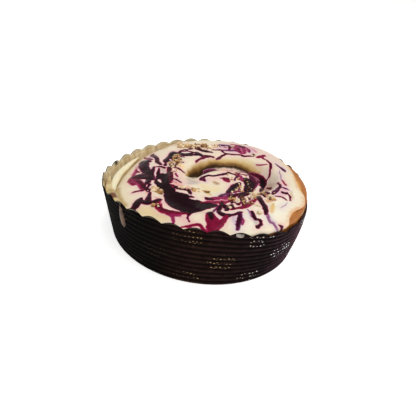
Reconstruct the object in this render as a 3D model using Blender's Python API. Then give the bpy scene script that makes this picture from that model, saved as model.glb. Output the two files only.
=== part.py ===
"""A cinnamon roll in a corrugated paper baking case, iced, streaked with jam and sprinkled with nuts.

Four solids: the paper case, the coiled dough, the icing with its jam and chopped nuts, and the
icing that ran down beside the dough. Metres, +Z up. The origin is on the table under the middle
of the case, and the case is seen from the -Y side. The dough and the icing share one grid of
points, so the icing's underside follows the dough at an even gap.
"""
import math
import random

import bmesh
import bpy
from mathutils import Euler, Matrix, Vector, noise

MM = 0.001

# Paper case
BASE_RADIUS = 57.8 * MM
RIM_RADIUS = 62.5 * MM
CASE_HEIGHT = 34.2 * MM
PAPER = 0.6 * MM               # wall at the bottom of a rib's groove
RIB_DEPTH = 0.7 * MM
RIB_COUNT = 12
FLOOR = 0.8 * MM
FLOOR_MARGIN = 2.0 * MM        # from the wall's foot to the underside's first ring
CASE_COLUMNS = 72
LIP_DEPTH = 3.0 * MM           # the wall's inside leans in over this depth at the rim
LIP_LEAN = 0.3 * MM
SCALLOPS = 36
SCALLOP_DEPTH = 2.0 * MM
SCALLOP_TURN = math.radians(5.5)
SCALLOP_DRIFT = math.radians(-1.85)
SCALLOP_START = 0.99           # share of the height above which the wall is cut
OVAL = -0.022                  # the case is drawn out along one diagonal
RIM_TILT_COS = 0.3 * MM        # the rim is tilted a little,
RIM_TILT_SIN = -0.7 * MM
RIM_WARP_COS = -2.2 * MM       # bent up at the front and back,
RIM_WARP_SIN = 2.0 * MM
RIM_BENDS = (                  # and bent by hand, as (angle, width in degrees, rise)
    (277, 20, 0.9 * MM),
    (309, 18, -1.3 * MM),
    (84, 24, -0.9 * MM),
    (134, 28, 0.4 * MM),
    (165, 12, -0.7 * MM),
    (25, 28, 0.7 * MM),
)
PINCH = (-11, 34, 1.8 * MM)    # the dough's crust pulls the rim in at the right
PINCH_POWER = 4
BELLY = (-25, 40, 0.5 * MM)    # and pushes the wall out below it

# Dough
GAP = 0.5 * MM                 # between pieces that lie on each other
COLUMNS = 54
SKIN_ROWS = 14                 # rows of the grid under the icing
CRUST_ROWS = 2                 # rows of bare crust beyond the icing's edge
CREST = 33.8 * MM              # dough height half way out
TILT = Vector((0.030, 0.026))  # the top rises towards the back right
COIL_CENTRE = Vector((12 * MM, -6 * MM))
LEFT_GAP = 10.5 * MM           # between the dough's top and the case at the left
LEFT_DROP = 3.5 * MM
COIL_DROP = 1.8 * MM           # the coil's middle lies lower than the outer turn
COIL_EDGE = (14 * MM, 24 * MM)
DOUGH_SHARE = 0.92             # of the case's height that the dough fills where the rim is highest
TOP_SHARE = 0.95               # share of the dough's height at which the top's outline is taken
LEFT_SPAN = (172, 72)          # where the dough stands away from the case, in degrees
LEFT_SLOPE = (165, 85)         # where its top slopes down
SHOULDER = 1.0 * MM            # how far the top rounds down to its edge,
LEFT_SHOULDER = 3.5 * MM       # and how much more at the left
SHOULDER_START = 0.75
BACK_SAG = (110, 50, -1.1 * MM)
BACK_RISE = (62, 27, 0.7 * MM)
WAVES = 0.8 * MM               # soft unevenness of the top, and its size across
WAVE_SIZE = 16 * MM
SIDE_HEIGHTS = (0.62, 0.3, 0.04)
SIDE_FILL = 0.9                # how far the side keeps to the top's outline below it
FOOT = 0.975                   # the underside's share of the side's foot
BARE_CRUST = ((0, 34, 0.09), (-36, 13, 0.08))

# Spiral groove, by its angle about the coil's centre: shallow in front, deep behind the coil
GROOVE_START = 160.0
GROOVE_END = 555.0
GROOVE_RADII = (38.5 * MM, 19.5 * MM, 22.0 * MM)
GROOVE_DEPTHS = (2.0 * MM, 9.5 * MM)
GROOVE_WIDTHS = (4.5 * MM, 9.5 * MM)
GROOVE_SWELL = 3.0 * MM        # further out at the right

# Icing, and the run of it between the dough and the case at the left
ICING = 1.8 * MM
THIN_EDGE = 0.7                # share of the thickness lost at the edge
EDGE_THINNING = 6
ICING_REACH = 0.985
ICING_WAVES = (0.006, 9)       # height and count of the waves along its edge
RUN_WIDTH = 4.2 * MM
RUN_AWAY = 2.7 * MM            # from the dough's top edge
RUN_HEIGHT = 29.5 * MM
RUN_ABOVE = 1.5 * MM
RUN_BELOW = 5.0 * MM
RUN_ANGLES = (150, 212)

# Thick jam, as (width, waypoints) in millimetres from the middle of the case
JAM_HEIGHT = 0.7 * MM
JAM_SINK = 0.5 * MM
STREAK_STEPS = 8
CROWN = 0.6                    # width of a streak's top and of its underside, as shares of its own
KEEL = 0.4
JAM_LINES = (
    (8.0, ((-27, -12), (-20, -26), (-13, -35), (-4, -39), (3, -36), (11, -30), (19, -22))),
    (4.5, ((-25, 26), (-27, 16), (-27, 6), (-29, -4), (-28, -14))),
    (5.5, ((-45, 18), (-42, 8), (-37, 0), (-30, -7))),
    (3.5, ((-44, -4), (-42, -11), (-36, -18))),
    (3.5, ((-23, 26), (-14, 26), (-6, 25), (2, 23))),
    (4.0, ((-36, -38), (-33, -33), (-28, -34))),
    (5.0, ((1, -44), (4, -49), (4, -54))),
    (2.6, ((9, -37), (10, -43), (17, -43), (21, -39))),
    (2.6, ((31, -27), (32, -36), (35, -45))),
    (3.0, ((48, -12), (44, -16), (38, -20))),
    (6.0, ((17, -12), (23, -8), (29, -4))),
)

# Chopped nuts, as (x, y, spread along x, spread along y, count) of each handful, in millimetres
NUT_LENGTHS = (2.0 * MM, 3.8 * MM)
NUT_FLATNESS = 0.65
NUT_NARROWEST = 0.65
NUT_ROUGHNESS = (0.8, 1.15)
NUT_TILT = 0.5
NUT_RISE = 0.2                 # of the centre above the icing, as a share of the length
NUT_SEED = 7
NUT_HEAPS = (
    (-9, 42, 11, 4, 15),
    (-29, -19, 5, 5, 8),
    (-26, -37, 2, 2, 2),
    (-25, 9, 3, 8, 6),
    (-5, -23, 4, 4, 5),
    (18, -20, 8, 7, 11),
    (30, -24, 6, 7, 13),
    (17, -35, 6, 4, 7),
    (25, 42, 8, 8, 3),
)


def smooth(low, high, value):
    """Smooth step from 0 at low to 1 at high."""
    t = min(max((value - low) / (high - low), 0.0), 1.0)
    return t * t * (3 - 2 * t)


def bump(angle, centre, width):
    """1 at the centre angle, falling to 0 at width degrees to either side."""
    away = abs((math.degrees(angle) - centre + 180) % 360 - 180)
    return 0.5 + 0.5 * math.cos(math.pi * min(away / width, 1.0))


def hump(angle, centre, width, height):
    """A smooth rise of the given height around an angle."""
    return height * bump(angle, centre, width)


def rim_height(angle):
    """Height of the bent rim's peaks."""
    height = CASE_HEIGHT + RIM_TILT_COS * math.cos(angle) + RIM_TILT_SIN * math.sin(angle)
    height += RIM_WARP_COS * math.cos(2 * angle) + RIM_WARP_SIN * math.sin(2 * angle)
    return height + sum(hump(angle, *bend) for bend in RIM_BENDS)


def bent_radius(radius, angle, share):
    """A radius of the round case, once the case is drawn out, pinched and bellied."""
    radius *= 1 + OVAL * math.sin(2 * angle)
    return radius - hump(angle, *PINCH) * share ** PINCH_POWER + hump(angle, *BELLY) * math.sin(math.pi * share)


def case_radius(angle, share):
    """Outer radius of the case's wall at a share of its height."""
    return bent_radius(BASE_RADIUS + (RIM_RADIUS - BASE_RADIUS) * share, angle, share)


def dough_radius(angle, share):
    """Radius of the room inside the case, less the gap."""
    return case_radius(angle, share * DOUGH_SHARE) - RIB_DEPTH - PAPER - GAP


def groove(x, y):
    """Depth of the spiral groove at a point of the top."""
    offset = Vector((x, y)) - COIL_CENTRE
    angle = math.degrees(math.atan2(offset.y, offset.x)) % 360
    outer, front, inner = GROOVE_RADII
    depth = 0.0
    for turn in (angle, angle + 360):
        radius = outer + (front - outer) * smooth(235, 290, turn) + (inner - front) * smooth(310, 350, turn)
        radius += GROOVE_SWELL * smooth(320, 370, turn) * (1 - smooth(400, 450, turn))
        away = offset.length - radius
        deep = smooth(335, 380, turn) * (1 - smooth(485, 540, turn))
        wide = smooth(360, 410, turn) * (1 - smooth(440, 505, turn)) * (away > 0)
        width = GROOVE_WIDTHS[0] + (GROOVE_WIDTHS[1] - GROOVE_WIDTHS[0]) * wide
        fade = smooth(GROOVE_START - 15, GROOVE_START + 15, turn) * (1 - smooth(535, GROOVE_END, turn))
        size = (GROOVE_DEPTHS[0] + (GROOVE_DEPTHS[1] - GROOVE_DEPTHS[0]) * deep) * fade
        depth = max(depth, size * math.exp(-(abs(away) / width) ** 2.5))
    return depth


def icing_edge(angle):
    """Share of the dough's radius that the icing covers."""
    height, count = ICING_WAVES
    return ICING_REACH - sum(hump(angle, *place) for place in BARE_CRUST) + height * math.sin(count * angle)


def top_outline(angle):
    """Radius of the dough's top, drawn in from the case at the left."""
    return dough_radius(angle, TOP_SHARE) - LEFT_GAP * bump(angle, *LEFT_SPAN)


def dough_height(x, y):
    """Height of the dough's top at a point."""
    angle = math.atan2(y, x)
    share = math.hypot(x, y) / top_outline(angle)
    left = bump(angle, *LEFT_SLOPE)
    rim = min(max(share - SHOULDER_START, 0) / (1 - SHOULDER_START), 1)
    shoulder = SHOULDER + LEFT_SHOULDER * left
    height = CREST + TILT.dot((x, y)) - shoulder * (1 - math.sqrt(1 - rim * rim))
    height -= LEFT_DROP * left * smooth(0.4, 1.0, share)
    height += (hump(angle, *BACK_SAG) + hump(angle, *BACK_RISE)) * smooth(0.6, 0.95, share)
    height -= COIL_DROP * (1 - smooth(*COIL_EDGE, (Vector((x, y)) - COIL_CENTRE).length))
    height += WAVES * noise.noise(Vector((x, y, 0)) / WAVE_SIZE)
    return height - groove(x, y)


def surface(row, column):
    """Point of the dough's top: rows run out from the coil's centre, columns around."""
    angle = 2 * math.pi * column / COLUMNS
    if row <= SKIN_ROWS:
        even = row / SKIN_ROWS
        share = icing_edge(angle) * (even + 0.06 * math.sin(2 * math.pi * even))
    else:
        share = icing_edge(angle) + (1 - icing_edge(angle)) * (row - SKIN_ROWS) / CRUST_ROWS
    centre = COIL_CENTRE * (1 - share * share)
    outward = Vector((math.cos(angle), math.sin(angle))) * top_outline(angle) * share
    x, y = centre + outward
    return Vector((x, y, dough_height(x, y)))


def closed_grid(bm, loops):
    """Skin a list of loops, whose first and last may be single points, into a closed body."""
    rows = [[bm.verts.new(point) for point in loop] for loop in loops]
    for inner, outer in zip(rows, rows[1:]):
        count = max(len(inner), len(outer))
        for i in range(count):
            corners = [inner[i % len(inner)], outer[i % len(outer)],
                       outer[(i + 1) % len(outer)], inner[(i + 1) % len(inner)]]
            bm.faces.new(dict.fromkeys(corners))


def finish(name, bm, material):
    """Turn a bmesh into a named object with its material."""
    bmesh.ops.recalc_face_normals(bm, faces=bm.faces[:])
    bmesh.ops.triangulate(bm, faces=bm.faces[:])
    mesh = bpy.data.meshes.new(name)
    bm.to_mesh(mesh)
    bm.free()
    mesh.shade_smooth()
    mesh.set_sharp_from_angle(angle=math.radians(40))
    mesh.materials.append(material)
    obj = bpy.data.objects.new(name, mesh)
    bpy.context.scene.collection.objects.link(obj)
    return obj


def material(name, colour, roughness):
    """A plain material; the colour is linear."""
    made = bpy.data.materials.new(name)
    made.use_nodes = True
    shader = made.node_tree.nodes["Principled BSDF"]
    shader.inputs["Base Color"].default_value = (*colour, 1)
    shader.inputs["Roughness"].default_value = roughness
    shader.inputs["Metallic"].default_value = 0
    made.diffuse_color = (*colour, 1)
    return made


def build_case():
    """The ribbed paper case, spun from its profile and then bent."""
    profile = [(0, 0), (BASE_RADIUS - FLOOR_MARGIN, 0)]
    for i in range(2 * RIB_COUNT):
        share = (i + 0.5) / (2 * RIB_COUNT)
        inset = RIB_DEPTH * (i % 2)
        profile.append((BASE_RADIUS + (RIM_RADIUS - BASE_RADIUS) * share - inset, share * CASE_HEIGHT))
    wall = RIB_DEPTH + PAPER
    profile += [(RIM_RADIUS - RIB_DEPTH / 2, CASE_HEIGHT), (RIM_RADIUS - wall, CASE_HEIGHT),
                (RIM_RADIUS - wall - LIP_LEAN, CASE_HEIGHT - LIP_DEPTH),
                (BASE_RADIUS - wall, FLOOR), (0, FLOOR)]
    bm = bmesh.new()
    points = [bm.verts.new((x, 0, z)) for x, z in profile]
    edges = [bm.edges.new(pair) for pair in zip(points, points[1:])]
    bmesh.ops.spin(bm, geom=points + edges, cent=(0, 0, 0), axis=(0, 0, 1), dvec=(0, 0, 0),
                   angle=2 * math.pi, steps=CASE_COLUMNS, use_merge=True)
    bmesh.ops.remove_doubles(bm, verts=bm.verts[:], dist=0.00001)
    top = [edge for edge in bm.edges if min(vert.co.z for vert in edge.verts) > CASE_HEIGHT - 0.1 * MM
           and abs(edge.verts[0].co.xy.length - edge.verts[1].co.xy.length) < 0.01 * MM]
    bmesh.ops.subdivide_edges(bm, edges=top, cuts=1, use_grid_fill=True)
    for vert in bm.verts:
        angle = math.atan2(vert.co.y, vert.co.x)
        turned = angle + SCALLOP_TURN + SCALLOP_DRIFT * math.sin(angle)
        share = vert.co.z / CASE_HEIGHT
        radius = bent_radius(vert.co.xy.length, turned, share) if vert.co.xy.length > 0 else 0
        scallop = SCALLOP_DEPTH * (1 - abs(math.cos(SCALLOPS / 2 * angle))) * smooth(SCALLOP_START, 1.0, share)
        height = share * rim_height(turned) - scallop
        vert.co = Vector((radius * math.cos(turned), radius * math.sin(turned), height))
    return finish("paper_case", bm, material("case paper", (0.012, 0.008, 0.007), 0.5))


def build_roll():
    """The coiled dough: its top grid, its side against the case and a flat underside."""
    top = [[surface(0, 0)]]
    for row in range(1, SKIN_ROWS + CRUST_ROWS + 1):
        top.append([surface(row, column) for column in range(COLUMNS)])
    sides = []
    for share in SIDE_HEIGHTS:
        loop = []
        for column, rim in enumerate(top[-1]):
            angle = 2 * math.pi * column / COLUMNS
            floor = dough_radius(angle, share)
            blend = smooth(0.0, 0.5, share) * SIDE_FILL
            radius = floor + (min(rim.xy.length, floor) - floor) * blend
            height = FLOOR + GAP + share * (rim.z - FLOOR - GAP)
            loop.append(Vector((radius * math.cos(angle), radius * math.sin(angle), height)))
        sides.append(loop)
    base = [Vector((point.x * FOOT, point.y * FOOT, FLOOR + GAP)) for point in sides[-1]]
    bm = bmesh.new()
    closed_grid(bm, top + sides + [base, [Vector((0, 0, FLOOR + GAP))]])
    return finish("roll", bm, material("crust", (0.45, 0.2, 0.06), 0.6))


def build_icing_skin():
    """The icing's own body, thinner towards its edge."""
    upper, lower = [], []
    for row in range(SKIN_ROWS + 1):
        count = COLUMNS if row else 1
        points = [surface(row, column) for column in range(count)]
        thick = ICING * (1 - THIN_EDGE * (row / SKIN_ROWS) ** EDGE_THINNING)
        lower.append([point + Vector((0, 0, GAP)) for point in points])
        upper.append([point + Vector((0, 0, GAP + thick)) for point in points])
    bm = bmesh.new()
    closed_grid(bm, upper + lower[::-1])
    return finish("icing", bm, material("icing", (0.78, 0.68, 0.5), 0.3))


def along(points, t):
    """Point at a share t of a smooth line through the waypoints."""
    place = t * (len(points) - 1)
    i = min(int(place), len(points) - 2)
    f = place - i
    before, start, end, after = (points[min(max(k, 0), len(points) - 1)] for k in (i - 1, i, i + 1, i + 2))
    pull_in = (end - before) / 2
    pull_out = (after - start) / 2
    return (start * (2 * f ** 3 - 3 * f * f + 1) + pull_in * (f ** 3 - 2 * f * f + f)
            + end * (3 * f * f - 2 * f ** 3) + pull_out * (f ** 3 - f * f))


def build_streak(name, path, width_at, above, below):
    """A closed, pointed streak along a path, with a six-sided section narrower underneath."""
    loops = [[path(0.0)]]
    for i in range(1, STREAK_STEPS):
        t = i / STREAK_STEPS
        here = path(t)
        side = (path(t + 0.02) - path(t - 0.02)).cross(Vector((0, 0, 1))).normalized() * width_at(t) / 2
        up = Vector((0, 0, above))
        down = Vector((0, 0, -below))
        crown, keel = side * CROWN, side * KEEL
        loops.append([here - side, here - crown + up, here + crown + up,
                      here + side, here + keel + down, here - keel + down])
    bm = bmesh.new()
    closed_grid(bm, loops + [[path(1.0)]])
    return finish(name, bm, bpy.data.materials["icing"])


def build_jam(number, width, waypoints):
    """One thick line of jam lying in the icing's top."""
    points = [Vector(point) * MM for point in waypoints]

    def path(t):
        x, y = along(points, min(max(t, 0), 1))
        return Vector((x, y, dough_height(x, y) + GAP + ICING))

    return build_streak(f"jam_{number}", path, lambda t: width * MM * math.sin(math.pi * t) ** 0.5,
                        JAM_HEIGHT, JAM_SINK)


def build_run():
    """Icing that ran over the dough's left shoulder into the gap beside the case."""
    start, end = RUN_ANGLES

    def path(t):
        angle = math.radians(start + (end - start) * t)
        radius = top_outline(angle) + RUN_AWAY * (0.5 + 0.5 * math.sin(math.pi * t))
        return Vector((radius * math.cos(angle), radius * math.sin(angle), RUN_HEIGHT))

    return build_streak("icing_run", path, lambda t: RUN_WIDTH * math.sin(math.pi * t) ** 0.7,
                        RUN_ABOVE, RUN_BELOW)


def build_nuts():
    """Chopped nuts, as jittered flattened twenty-sided chips half sunk in the icing."""
    chance = random.Random(NUT_SEED)
    nuts = []
    for x, y, spread_x, spread_y, count in NUT_HEAPS:
        for _ in range(count):
            px = (x + spread_x * chance.uniform(-1, 1)) * MM
            py = (y + spread_y * chance.uniform(-1, 1)) * MM
            length = chance.uniform(*NUT_LENGTHS)
            bm = bmesh.new()
            bmesh.ops.create_icosphere(bm, subdivisions=1, radius=length / 2)
            for vert in bm.verts:
                vert.co *= chance.uniform(*NUT_ROUGHNESS)
            turn = Euler((chance.uniform(-NUT_TILT, NUT_TILT), chance.uniform(-NUT_TILT, NUT_TILT),
                          chance.uniform(0, 2 * math.pi)))
            height = dough_height(px, py) + GAP + ICING + length * NUT_RISE
            scale = Vector((1.0, chance.uniform(NUT_NARROWEST, 0.95), NUT_FLATNESS))
            shape = Matrix.LocRotScale(Vector((px, py, height)), turn, scale)
            bmesh.ops.transform(bm, matrix=shape, verts=bm.verts[:])
            nuts.append(finish(f"nut_{len(nuts)}", bm, bpy.data.materials["icing"]))
    return nuts


def keep_largest(bm):
    """Drop loose scraps and the walls of sealed hollows: all but the largest connected skin."""
    left = set(bm.faces)
    skins = []
    while left:
        skin = set()
        edge_of_skin = [left.pop()]
        while edge_of_skin:
            face = edge_of_skin.pop()
            skin.add(face)
            touching = {other for edge in face.edges for other in edge.link_faces} & left
            left -= touching
            edge_of_skin.extend(touching)
        skins.append(skin)
    largest = max(skins, key=len)
    loose = [face for skin in skins if skin is not largest for face in skin]
    bmesh.ops.delete(bm, geom=loose, context="FACES")


def fuse(base, pieces):
    """Join the pieces into the base with one Boolean union, and remove them."""
    group = bpy.data.collections.new("toppings")
    bpy.context.scene.collection.children.link(group)
    for piece in pieces:
        group.objects.link(piece)
    union = base.modifiers.new("toppings", "BOOLEAN")
    union.operation = "UNION"
    union.operand_type = "COLLECTION"
    union.collection = group
    union.solver = "EXACT"
    joined = bpy.data.meshes.new_from_object(base.evaluated_get(bpy.context.evaluated_depsgraph_get()))
    base.modifiers.clear()
    bm = bmesh.new()
    bm.from_mesh(joined)
    keep_largest(bm)
    bmesh.ops.triangulate(bm, faces=bm.faces[:])
    bm.to_mesh(joined)
    bm.free()
    base.data = joined
    for piece in pieces:
        bpy.data.objects.remove(piece)
    bpy.data.collections.remove(group)


def main():
    for old in list(bpy.data.objects):
        bpy.data.objects.remove(old)
    build_case()
    build_roll()
    icing = build_icing_skin()
    jams = [build_jam(number, *line) for number, line in enumerate(JAM_LINES)]
    fuse(icing, jams + build_nuts())
    build_run()


main()
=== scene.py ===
# %% [markdown]
# # A berry cinnamon roll in its paper baking case
#
# The CAD model gives the case, the coiled dough, the icing with its jam and nuts, and the icing that
# ran down inside the case. This lesson dresses them. Each piece starts from a Blender operator and is
# then bent by the same measures as the solid that it replaces, so nothing moves and nothing grows.

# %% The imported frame
import math
import random

import bmesh
import bpy
import numpy as np
from mathutils import Euler, Matrix, Vector, noise


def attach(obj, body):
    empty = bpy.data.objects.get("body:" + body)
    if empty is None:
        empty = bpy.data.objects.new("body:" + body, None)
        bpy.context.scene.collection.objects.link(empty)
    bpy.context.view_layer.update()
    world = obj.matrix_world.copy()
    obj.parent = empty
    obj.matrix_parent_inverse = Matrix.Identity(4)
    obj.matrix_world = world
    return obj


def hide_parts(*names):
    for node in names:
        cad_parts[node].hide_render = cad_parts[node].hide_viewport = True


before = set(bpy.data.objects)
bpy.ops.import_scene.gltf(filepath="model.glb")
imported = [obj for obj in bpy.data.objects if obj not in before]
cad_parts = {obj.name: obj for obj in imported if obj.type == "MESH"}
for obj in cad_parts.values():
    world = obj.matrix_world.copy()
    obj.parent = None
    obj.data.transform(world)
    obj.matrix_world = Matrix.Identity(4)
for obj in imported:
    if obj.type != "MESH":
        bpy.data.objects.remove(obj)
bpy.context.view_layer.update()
MM = 0.001

# %% [markdown]
# ## Where the viewer stands
#
# A food photographer shoots a bun from a little above the table, close, with a slightly wide lens.
# The camera comes first. Its place is given in rim radii of the case, and three small angles in
# radians turn it from a plain look at the middle.

# %% Camera
RIM_RADIUS = 62.5 * MM
SENSOR = 36.0                  # mm
FOCAL = 338.0 / 416.0          # focal length as a share of the picture's width
ELEVATION = 0.45223
DISTANCE = 3.3125 * RIM_RADIUS
RISE = 0.54783 * RIM_RADIUS    # of the point that it looks at
PAN, TIP, ROLL = 0.0128, 0.0955, -0.0987

lens = bpy.data.cameras.new("camera")
lens.sensor_width = SENSOR
lens.lens = SENSOR * FOCAL
lens.clip_start = 1 * MM
camera = bpy.data.objects.new("camera", lens)
bpy.context.scene.collection.objects.link(camera)
level = Matrix.Rotation(math.pi / 2 - ELEVATION, 3, "X").transposed()
nudge = Matrix.Rotation(ROLL, 3, "Z") @ Matrix.Rotation(TIP, 3, "X") @ Matrix.Rotation(PAN, 3, "Y")
place = Vector((0, -DISTANCE * math.cos(ELEVATION), RISE + DISTANCE * math.sin(ELEVATION)))
camera.matrix_world = Matrix.Translation(place) @ (nudge @ level).transposed().to_4x4()
bpy.context.scene.camera = camera
print("camera at", [round(part / MM) for part in place], "mm, lens", round(lens.lens, 1), "mm")

# %% [markdown]
# ## Materials without surprises
#
# Colours are picked as screen hex values and turned linear by one function. Another adds a node, sets
# what it needs and wires its inputs, so each material below reads as a list of what its surface does.
# A noise's scale is one over its grain, which is why the grains below are real sizes in millimetres.
# Paper, sugar, crust and nuts all bend light like the shader's default, an index of 1.5.

# %% Colour and node helpers
def screen(code):
    """The red, green and blue shares of an sRGB hex colour, as the eye mixes them."""
    return np.array([int(code[i:i + 2], 16) / 255 for i in (1, 3, 5)])


def linear(shares):
    """Screen shares turned to the linear light that shaders mix."""
    return np.where(shares <= 0.04045, shares / 12.92, ((shares + 0.055) / 1.055) ** 2.4)


def shade(code):
    """An sRGB hex colour in linear light."""
    return linear(screen(code)).tolist()


def add(tree, kind, inputs=(), stops=None, **settings):
    """Add one node. Inputs are values, hex colours or other nodes' sockets; stops fill a ramp, in order."""
    made = tree.nodes.new("ShaderNode" + kind)
    for name, value in settings.items():
        setattr(made, name, value)
    if stops:
        for place, code in stops[1:-1]:
            made.color_ramp.elements.new(place)
        for element, (place, code) in zip(made.color_ramp.elements, stops):
            element.position = place
            element.color = (*shade(code), 1) if isinstance(code, str) else (code, code, code, 1)
    for socket, value in dict(inputs).items():
        if isinstance(value, bpy.types.NodeSocket):
            tree.links.new(value, made.inputs[socket])
        else:
            made.inputs[socket].default_value = (*shade(value), 1) if isinstance(value, str) else value
    return made.outputs


FACTOR, FIRST, SECOND, RESULT = 0, 6, 7, 2    # sockets of a Mix node set to colours
print("helpers ready; white is", shade("#ffffff"))

# %% [markdown]
# Several finishes here are one material with soft patches in it: a table, set icing, glaze, nuts.
# They share the function below, which can also raise the patches a little, so that light finds them.

# %% Patchy finishes
def start(name, **sockets):
    """A new material with its shader's plain values; returns it, its tree and its shader."""
    made = bpy.data.materials.new(name)
    made.use_nodes = True
    shader = made.node_tree.nodes["Principled BSDF"]
    for socket, value in sockets.items():
        shader.inputs[socket.replace("_", " ")].default_value = value
    return made, made.node_tree, shader


def patchy(tree, shader, grain, detail, stops, relief=0.0, strength=0.5):
    """Colour a shader in patches as wide as the grain; returns the place's socket and the colour's."""
    space = add(tree, "TexCoord")["Object"]
    patch = add(tree, "TexNoise", {"Vector": space, "Scale": 1 / grain, "Detail": detail})[0]
    paint = add(tree, "ValToRGB", {0: patch}, stops=stops)[0]
    tree.links.new(paint, shader.inputs["Base Color"])
    if relief:
        raised = add(tree, "Bump", {"Height": patch, "Distance": relief, "Strength": strength})[0]
        tree.links.new(raised, shader.inputs["Normal"])
    return space, paint


print("finishes ready")

# %% [markdown]
# ## Table and light
#
# The bun stands on a wide white table, a sheet of lit acrylic as for product pictures. It is a flat
# disc with a matt, faintly uneven white that glows a little, so that no edge or dull shadow shows.

# %% Table
TABLE_RADIUS = 6.0             # metres: it runs on to the horizon
TABLE_DROP = 0.05 * MM         # below the case, so that the two never share a plane

bm = bmesh.new()
bmesh.ops.create_circle(bm, cap_ends=True, cap_tris=True, radius=TABLE_RADIUS, segments=64)
bmesh.ops.translate(bm, vec=(0, 0, -TABLE_DROP), verts=bm.verts[:])
table_mesh = bpy.data.meshes.new("table")
bm.to_mesh(table_mesh)
bm.free()
table = bpy.data.objects.new("table", table_mesh)
bpy.context.scene.collection.objects.link(table)

board, tree, shader = start("lit_white_acrylic", Roughness=0.8, Specular_IOR_Level=0.1, Emission_Strength=0.5)
shader.inputs["Emission Color"].default_value = (1, 1, 1, 1)
patchy(tree, shader, 111 * MM, 3.0, ((0.3, "#F9F9F9"), (0.7, "#FDFDFD")))
table_mesh.materials.append(board)
print("table:", len(table_mesh.polygons), "faces")

# %% [markdown]
# Two very soft suns stand in for big windows: unlike lamps they light the far table as much as the
# near one, so the white runs on without a seam. The room glows white near the horizon and is dimmer
# overhead, which keeps dark jam dark.

# %% Light
def soft_sun(name, towards, spread, strength, tint):
    """A sun as wide as a window; towards is where it shines from, spread its width in degrees."""
    light = bpy.data.lights.new(name, "SUN")
    light.angle = math.radians(spread)
    light.energy = strength
    light.color = shade(tint)
    held = bpy.data.objects.new(name, light)
    held.matrix_world = Vector(towards).to_track_quat("Z", "Y").to_matrix().to_4x4()
    bpy.context.scene.collection.objects.link(held)


soft_sun("window", (0.5, 0.1, 1.0), 60, 1.64, "#FFFDF8")
soft_sun("far_window", (-0.3, -0.6, 0.9), 100, 1.1, "#FFFFFF")
room = bpy.data.worlds.new("white room")
room.use_nodes = True
glow = room.node_tree
upward = add(glow, "SeparateXYZ", {0: add(glow, "TexCoord")["Generated"]})[2]
dimmer = add(glow, "MapRange", {"Value": upward, "From Min": 0.03, "From Max": 0.17,
                                "To Min": 1.05, "To Max": 0.34})[0]
glow.links.new(dimmer, glow.nodes["Background"].inputs["Strength"])
glow.nodes["Background"].inputs["Color"].default_value = (*shade("#FFFEFC"), 1)
bpy.context.scene.world = room
bpy.context.scene.view_settings.view_transform = "Standard"

# %% [markdown]
# ## The measures of the bun
#
# These are the measures that the solids were built from: the case's taper and bent rim, and the
# height of the dough's top with its spiral groove. They work on whole arrays of points at once, so
# the fine skins below can use far more points than the solids do and still lie where they lie.

# %% Measures of the case
BASE_RADIUS = 57.8 * MM
CASE_HEIGHT = 34.2 * MM
PAPER = 0.6 * MM               # wall at the bottom of a rib's groove
RIB_DEPTH = 0.7 * MM
RIB_COUNT = 12
FLOOR = 0.8 * MM
SCALLOP_DEPTH = 2.0 * MM
SCALLOP_COUNT = 36
SCALLOP_TURN = math.radians(5.5)
SCALLOP_DRIFT = math.radians(-1.85)
RIM_TILT = (0.3 * MM, -0.7 * MM)      # of the rim, along x and y
RIM_WARP = (-2.2 * MM, 2.0 * MM)      # bent up at the front and back
RIM_BENDS = ((277, 20, 0.9 * MM), (309, 18, -1.3 * MM), (84, 24, -0.9 * MM), (134, 28, 0.4 * MM),
             (165, 12, -0.7 * MM), (25, 28, 0.7 * MM))     # angle, width in degrees, rise
OVAL = -0.022                  # the case is drawn out along one diagonal
PINCH = (-11, 34, 1.8 * MM)    # the dough's crust pulls the rim in at the right
PINCH_POWER = 4
BELLY = (-25, 40, 0.5 * MM)    # and pushes the wall out below it
DOUGH_SHARE = 0.92             # of the case's height that the dough fills where the rim is highest
GAP = 0.5 * MM                 # between pieces that lie on each other


def smooth(low, high, value):
    """Smooth step from 0 at low to 1 at high."""
    t = np.clip((value - low) / (high - low), 0, 1)
    return t * t * (3 - 2 * t)


def bump(angle, centre, width, height=1.0):
    """The height at the centre angle, falling to 0 at width degrees to either side."""
    away = np.abs((np.degrees(angle) - centre + 180) % 360 - 180)
    return height * (0.5 + 0.5 * np.cos(np.pi * np.minimum(away / width, 1.0)))


def rim_height(angle):
    """Height of the bent rim's peaks."""
    height = CASE_HEIGHT + RIM_TILT[0] * np.cos(angle) + RIM_TILT[1] * np.sin(angle)
    height += RIM_WARP[0] * np.cos(2 * angle) + RIM_WARP[1] * np.sin(2 * angle)
    return height + sum(bump(angle, *bend) for bend in RIM_BENDS)


def bent_radius(radius, angle, share):
    """A radius of the round case, once the case is drawn out, pinched and bellied."""
    radius = radius * (1 + OVAL * np.sin(2 * angle))
    return radius - bump(angle, *PINCH) * share ** PINCH_POWER + bump(angle, *BELLY) * np.sin(np.pi * share)


def round_radius(share):
    """Outer radius of the case at a share of its height, before it is bent."""
    return BASE_RADIUS + (RIM_RADIUS - BASE_RADIUS) * share


def case_radius(angle, share):
    """Outer radius of the bent case at a share of its height."""
    return bent_radius(round_radius(share), angle, share)


def dough_radius(angle, share):
    """Radius of the room inside the case, less the gap."""
    return case_radius(angle, share * DOUGH_SHARE) - RIB_DEPTH - PAPER - GAP


print("rim", round(float(rim_height(0.0)) / MM, 1), "mm high at the right")

# %% [markdown]
# The bun is one rope of dough wound in a spiral, so its top is a low dome with one groove that winds
# inwards. The groove's depth depends on how far round the coil a place is, in degrees: it is shallow
# in front, where icing filled it, and deep and wide behind the coil.

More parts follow.
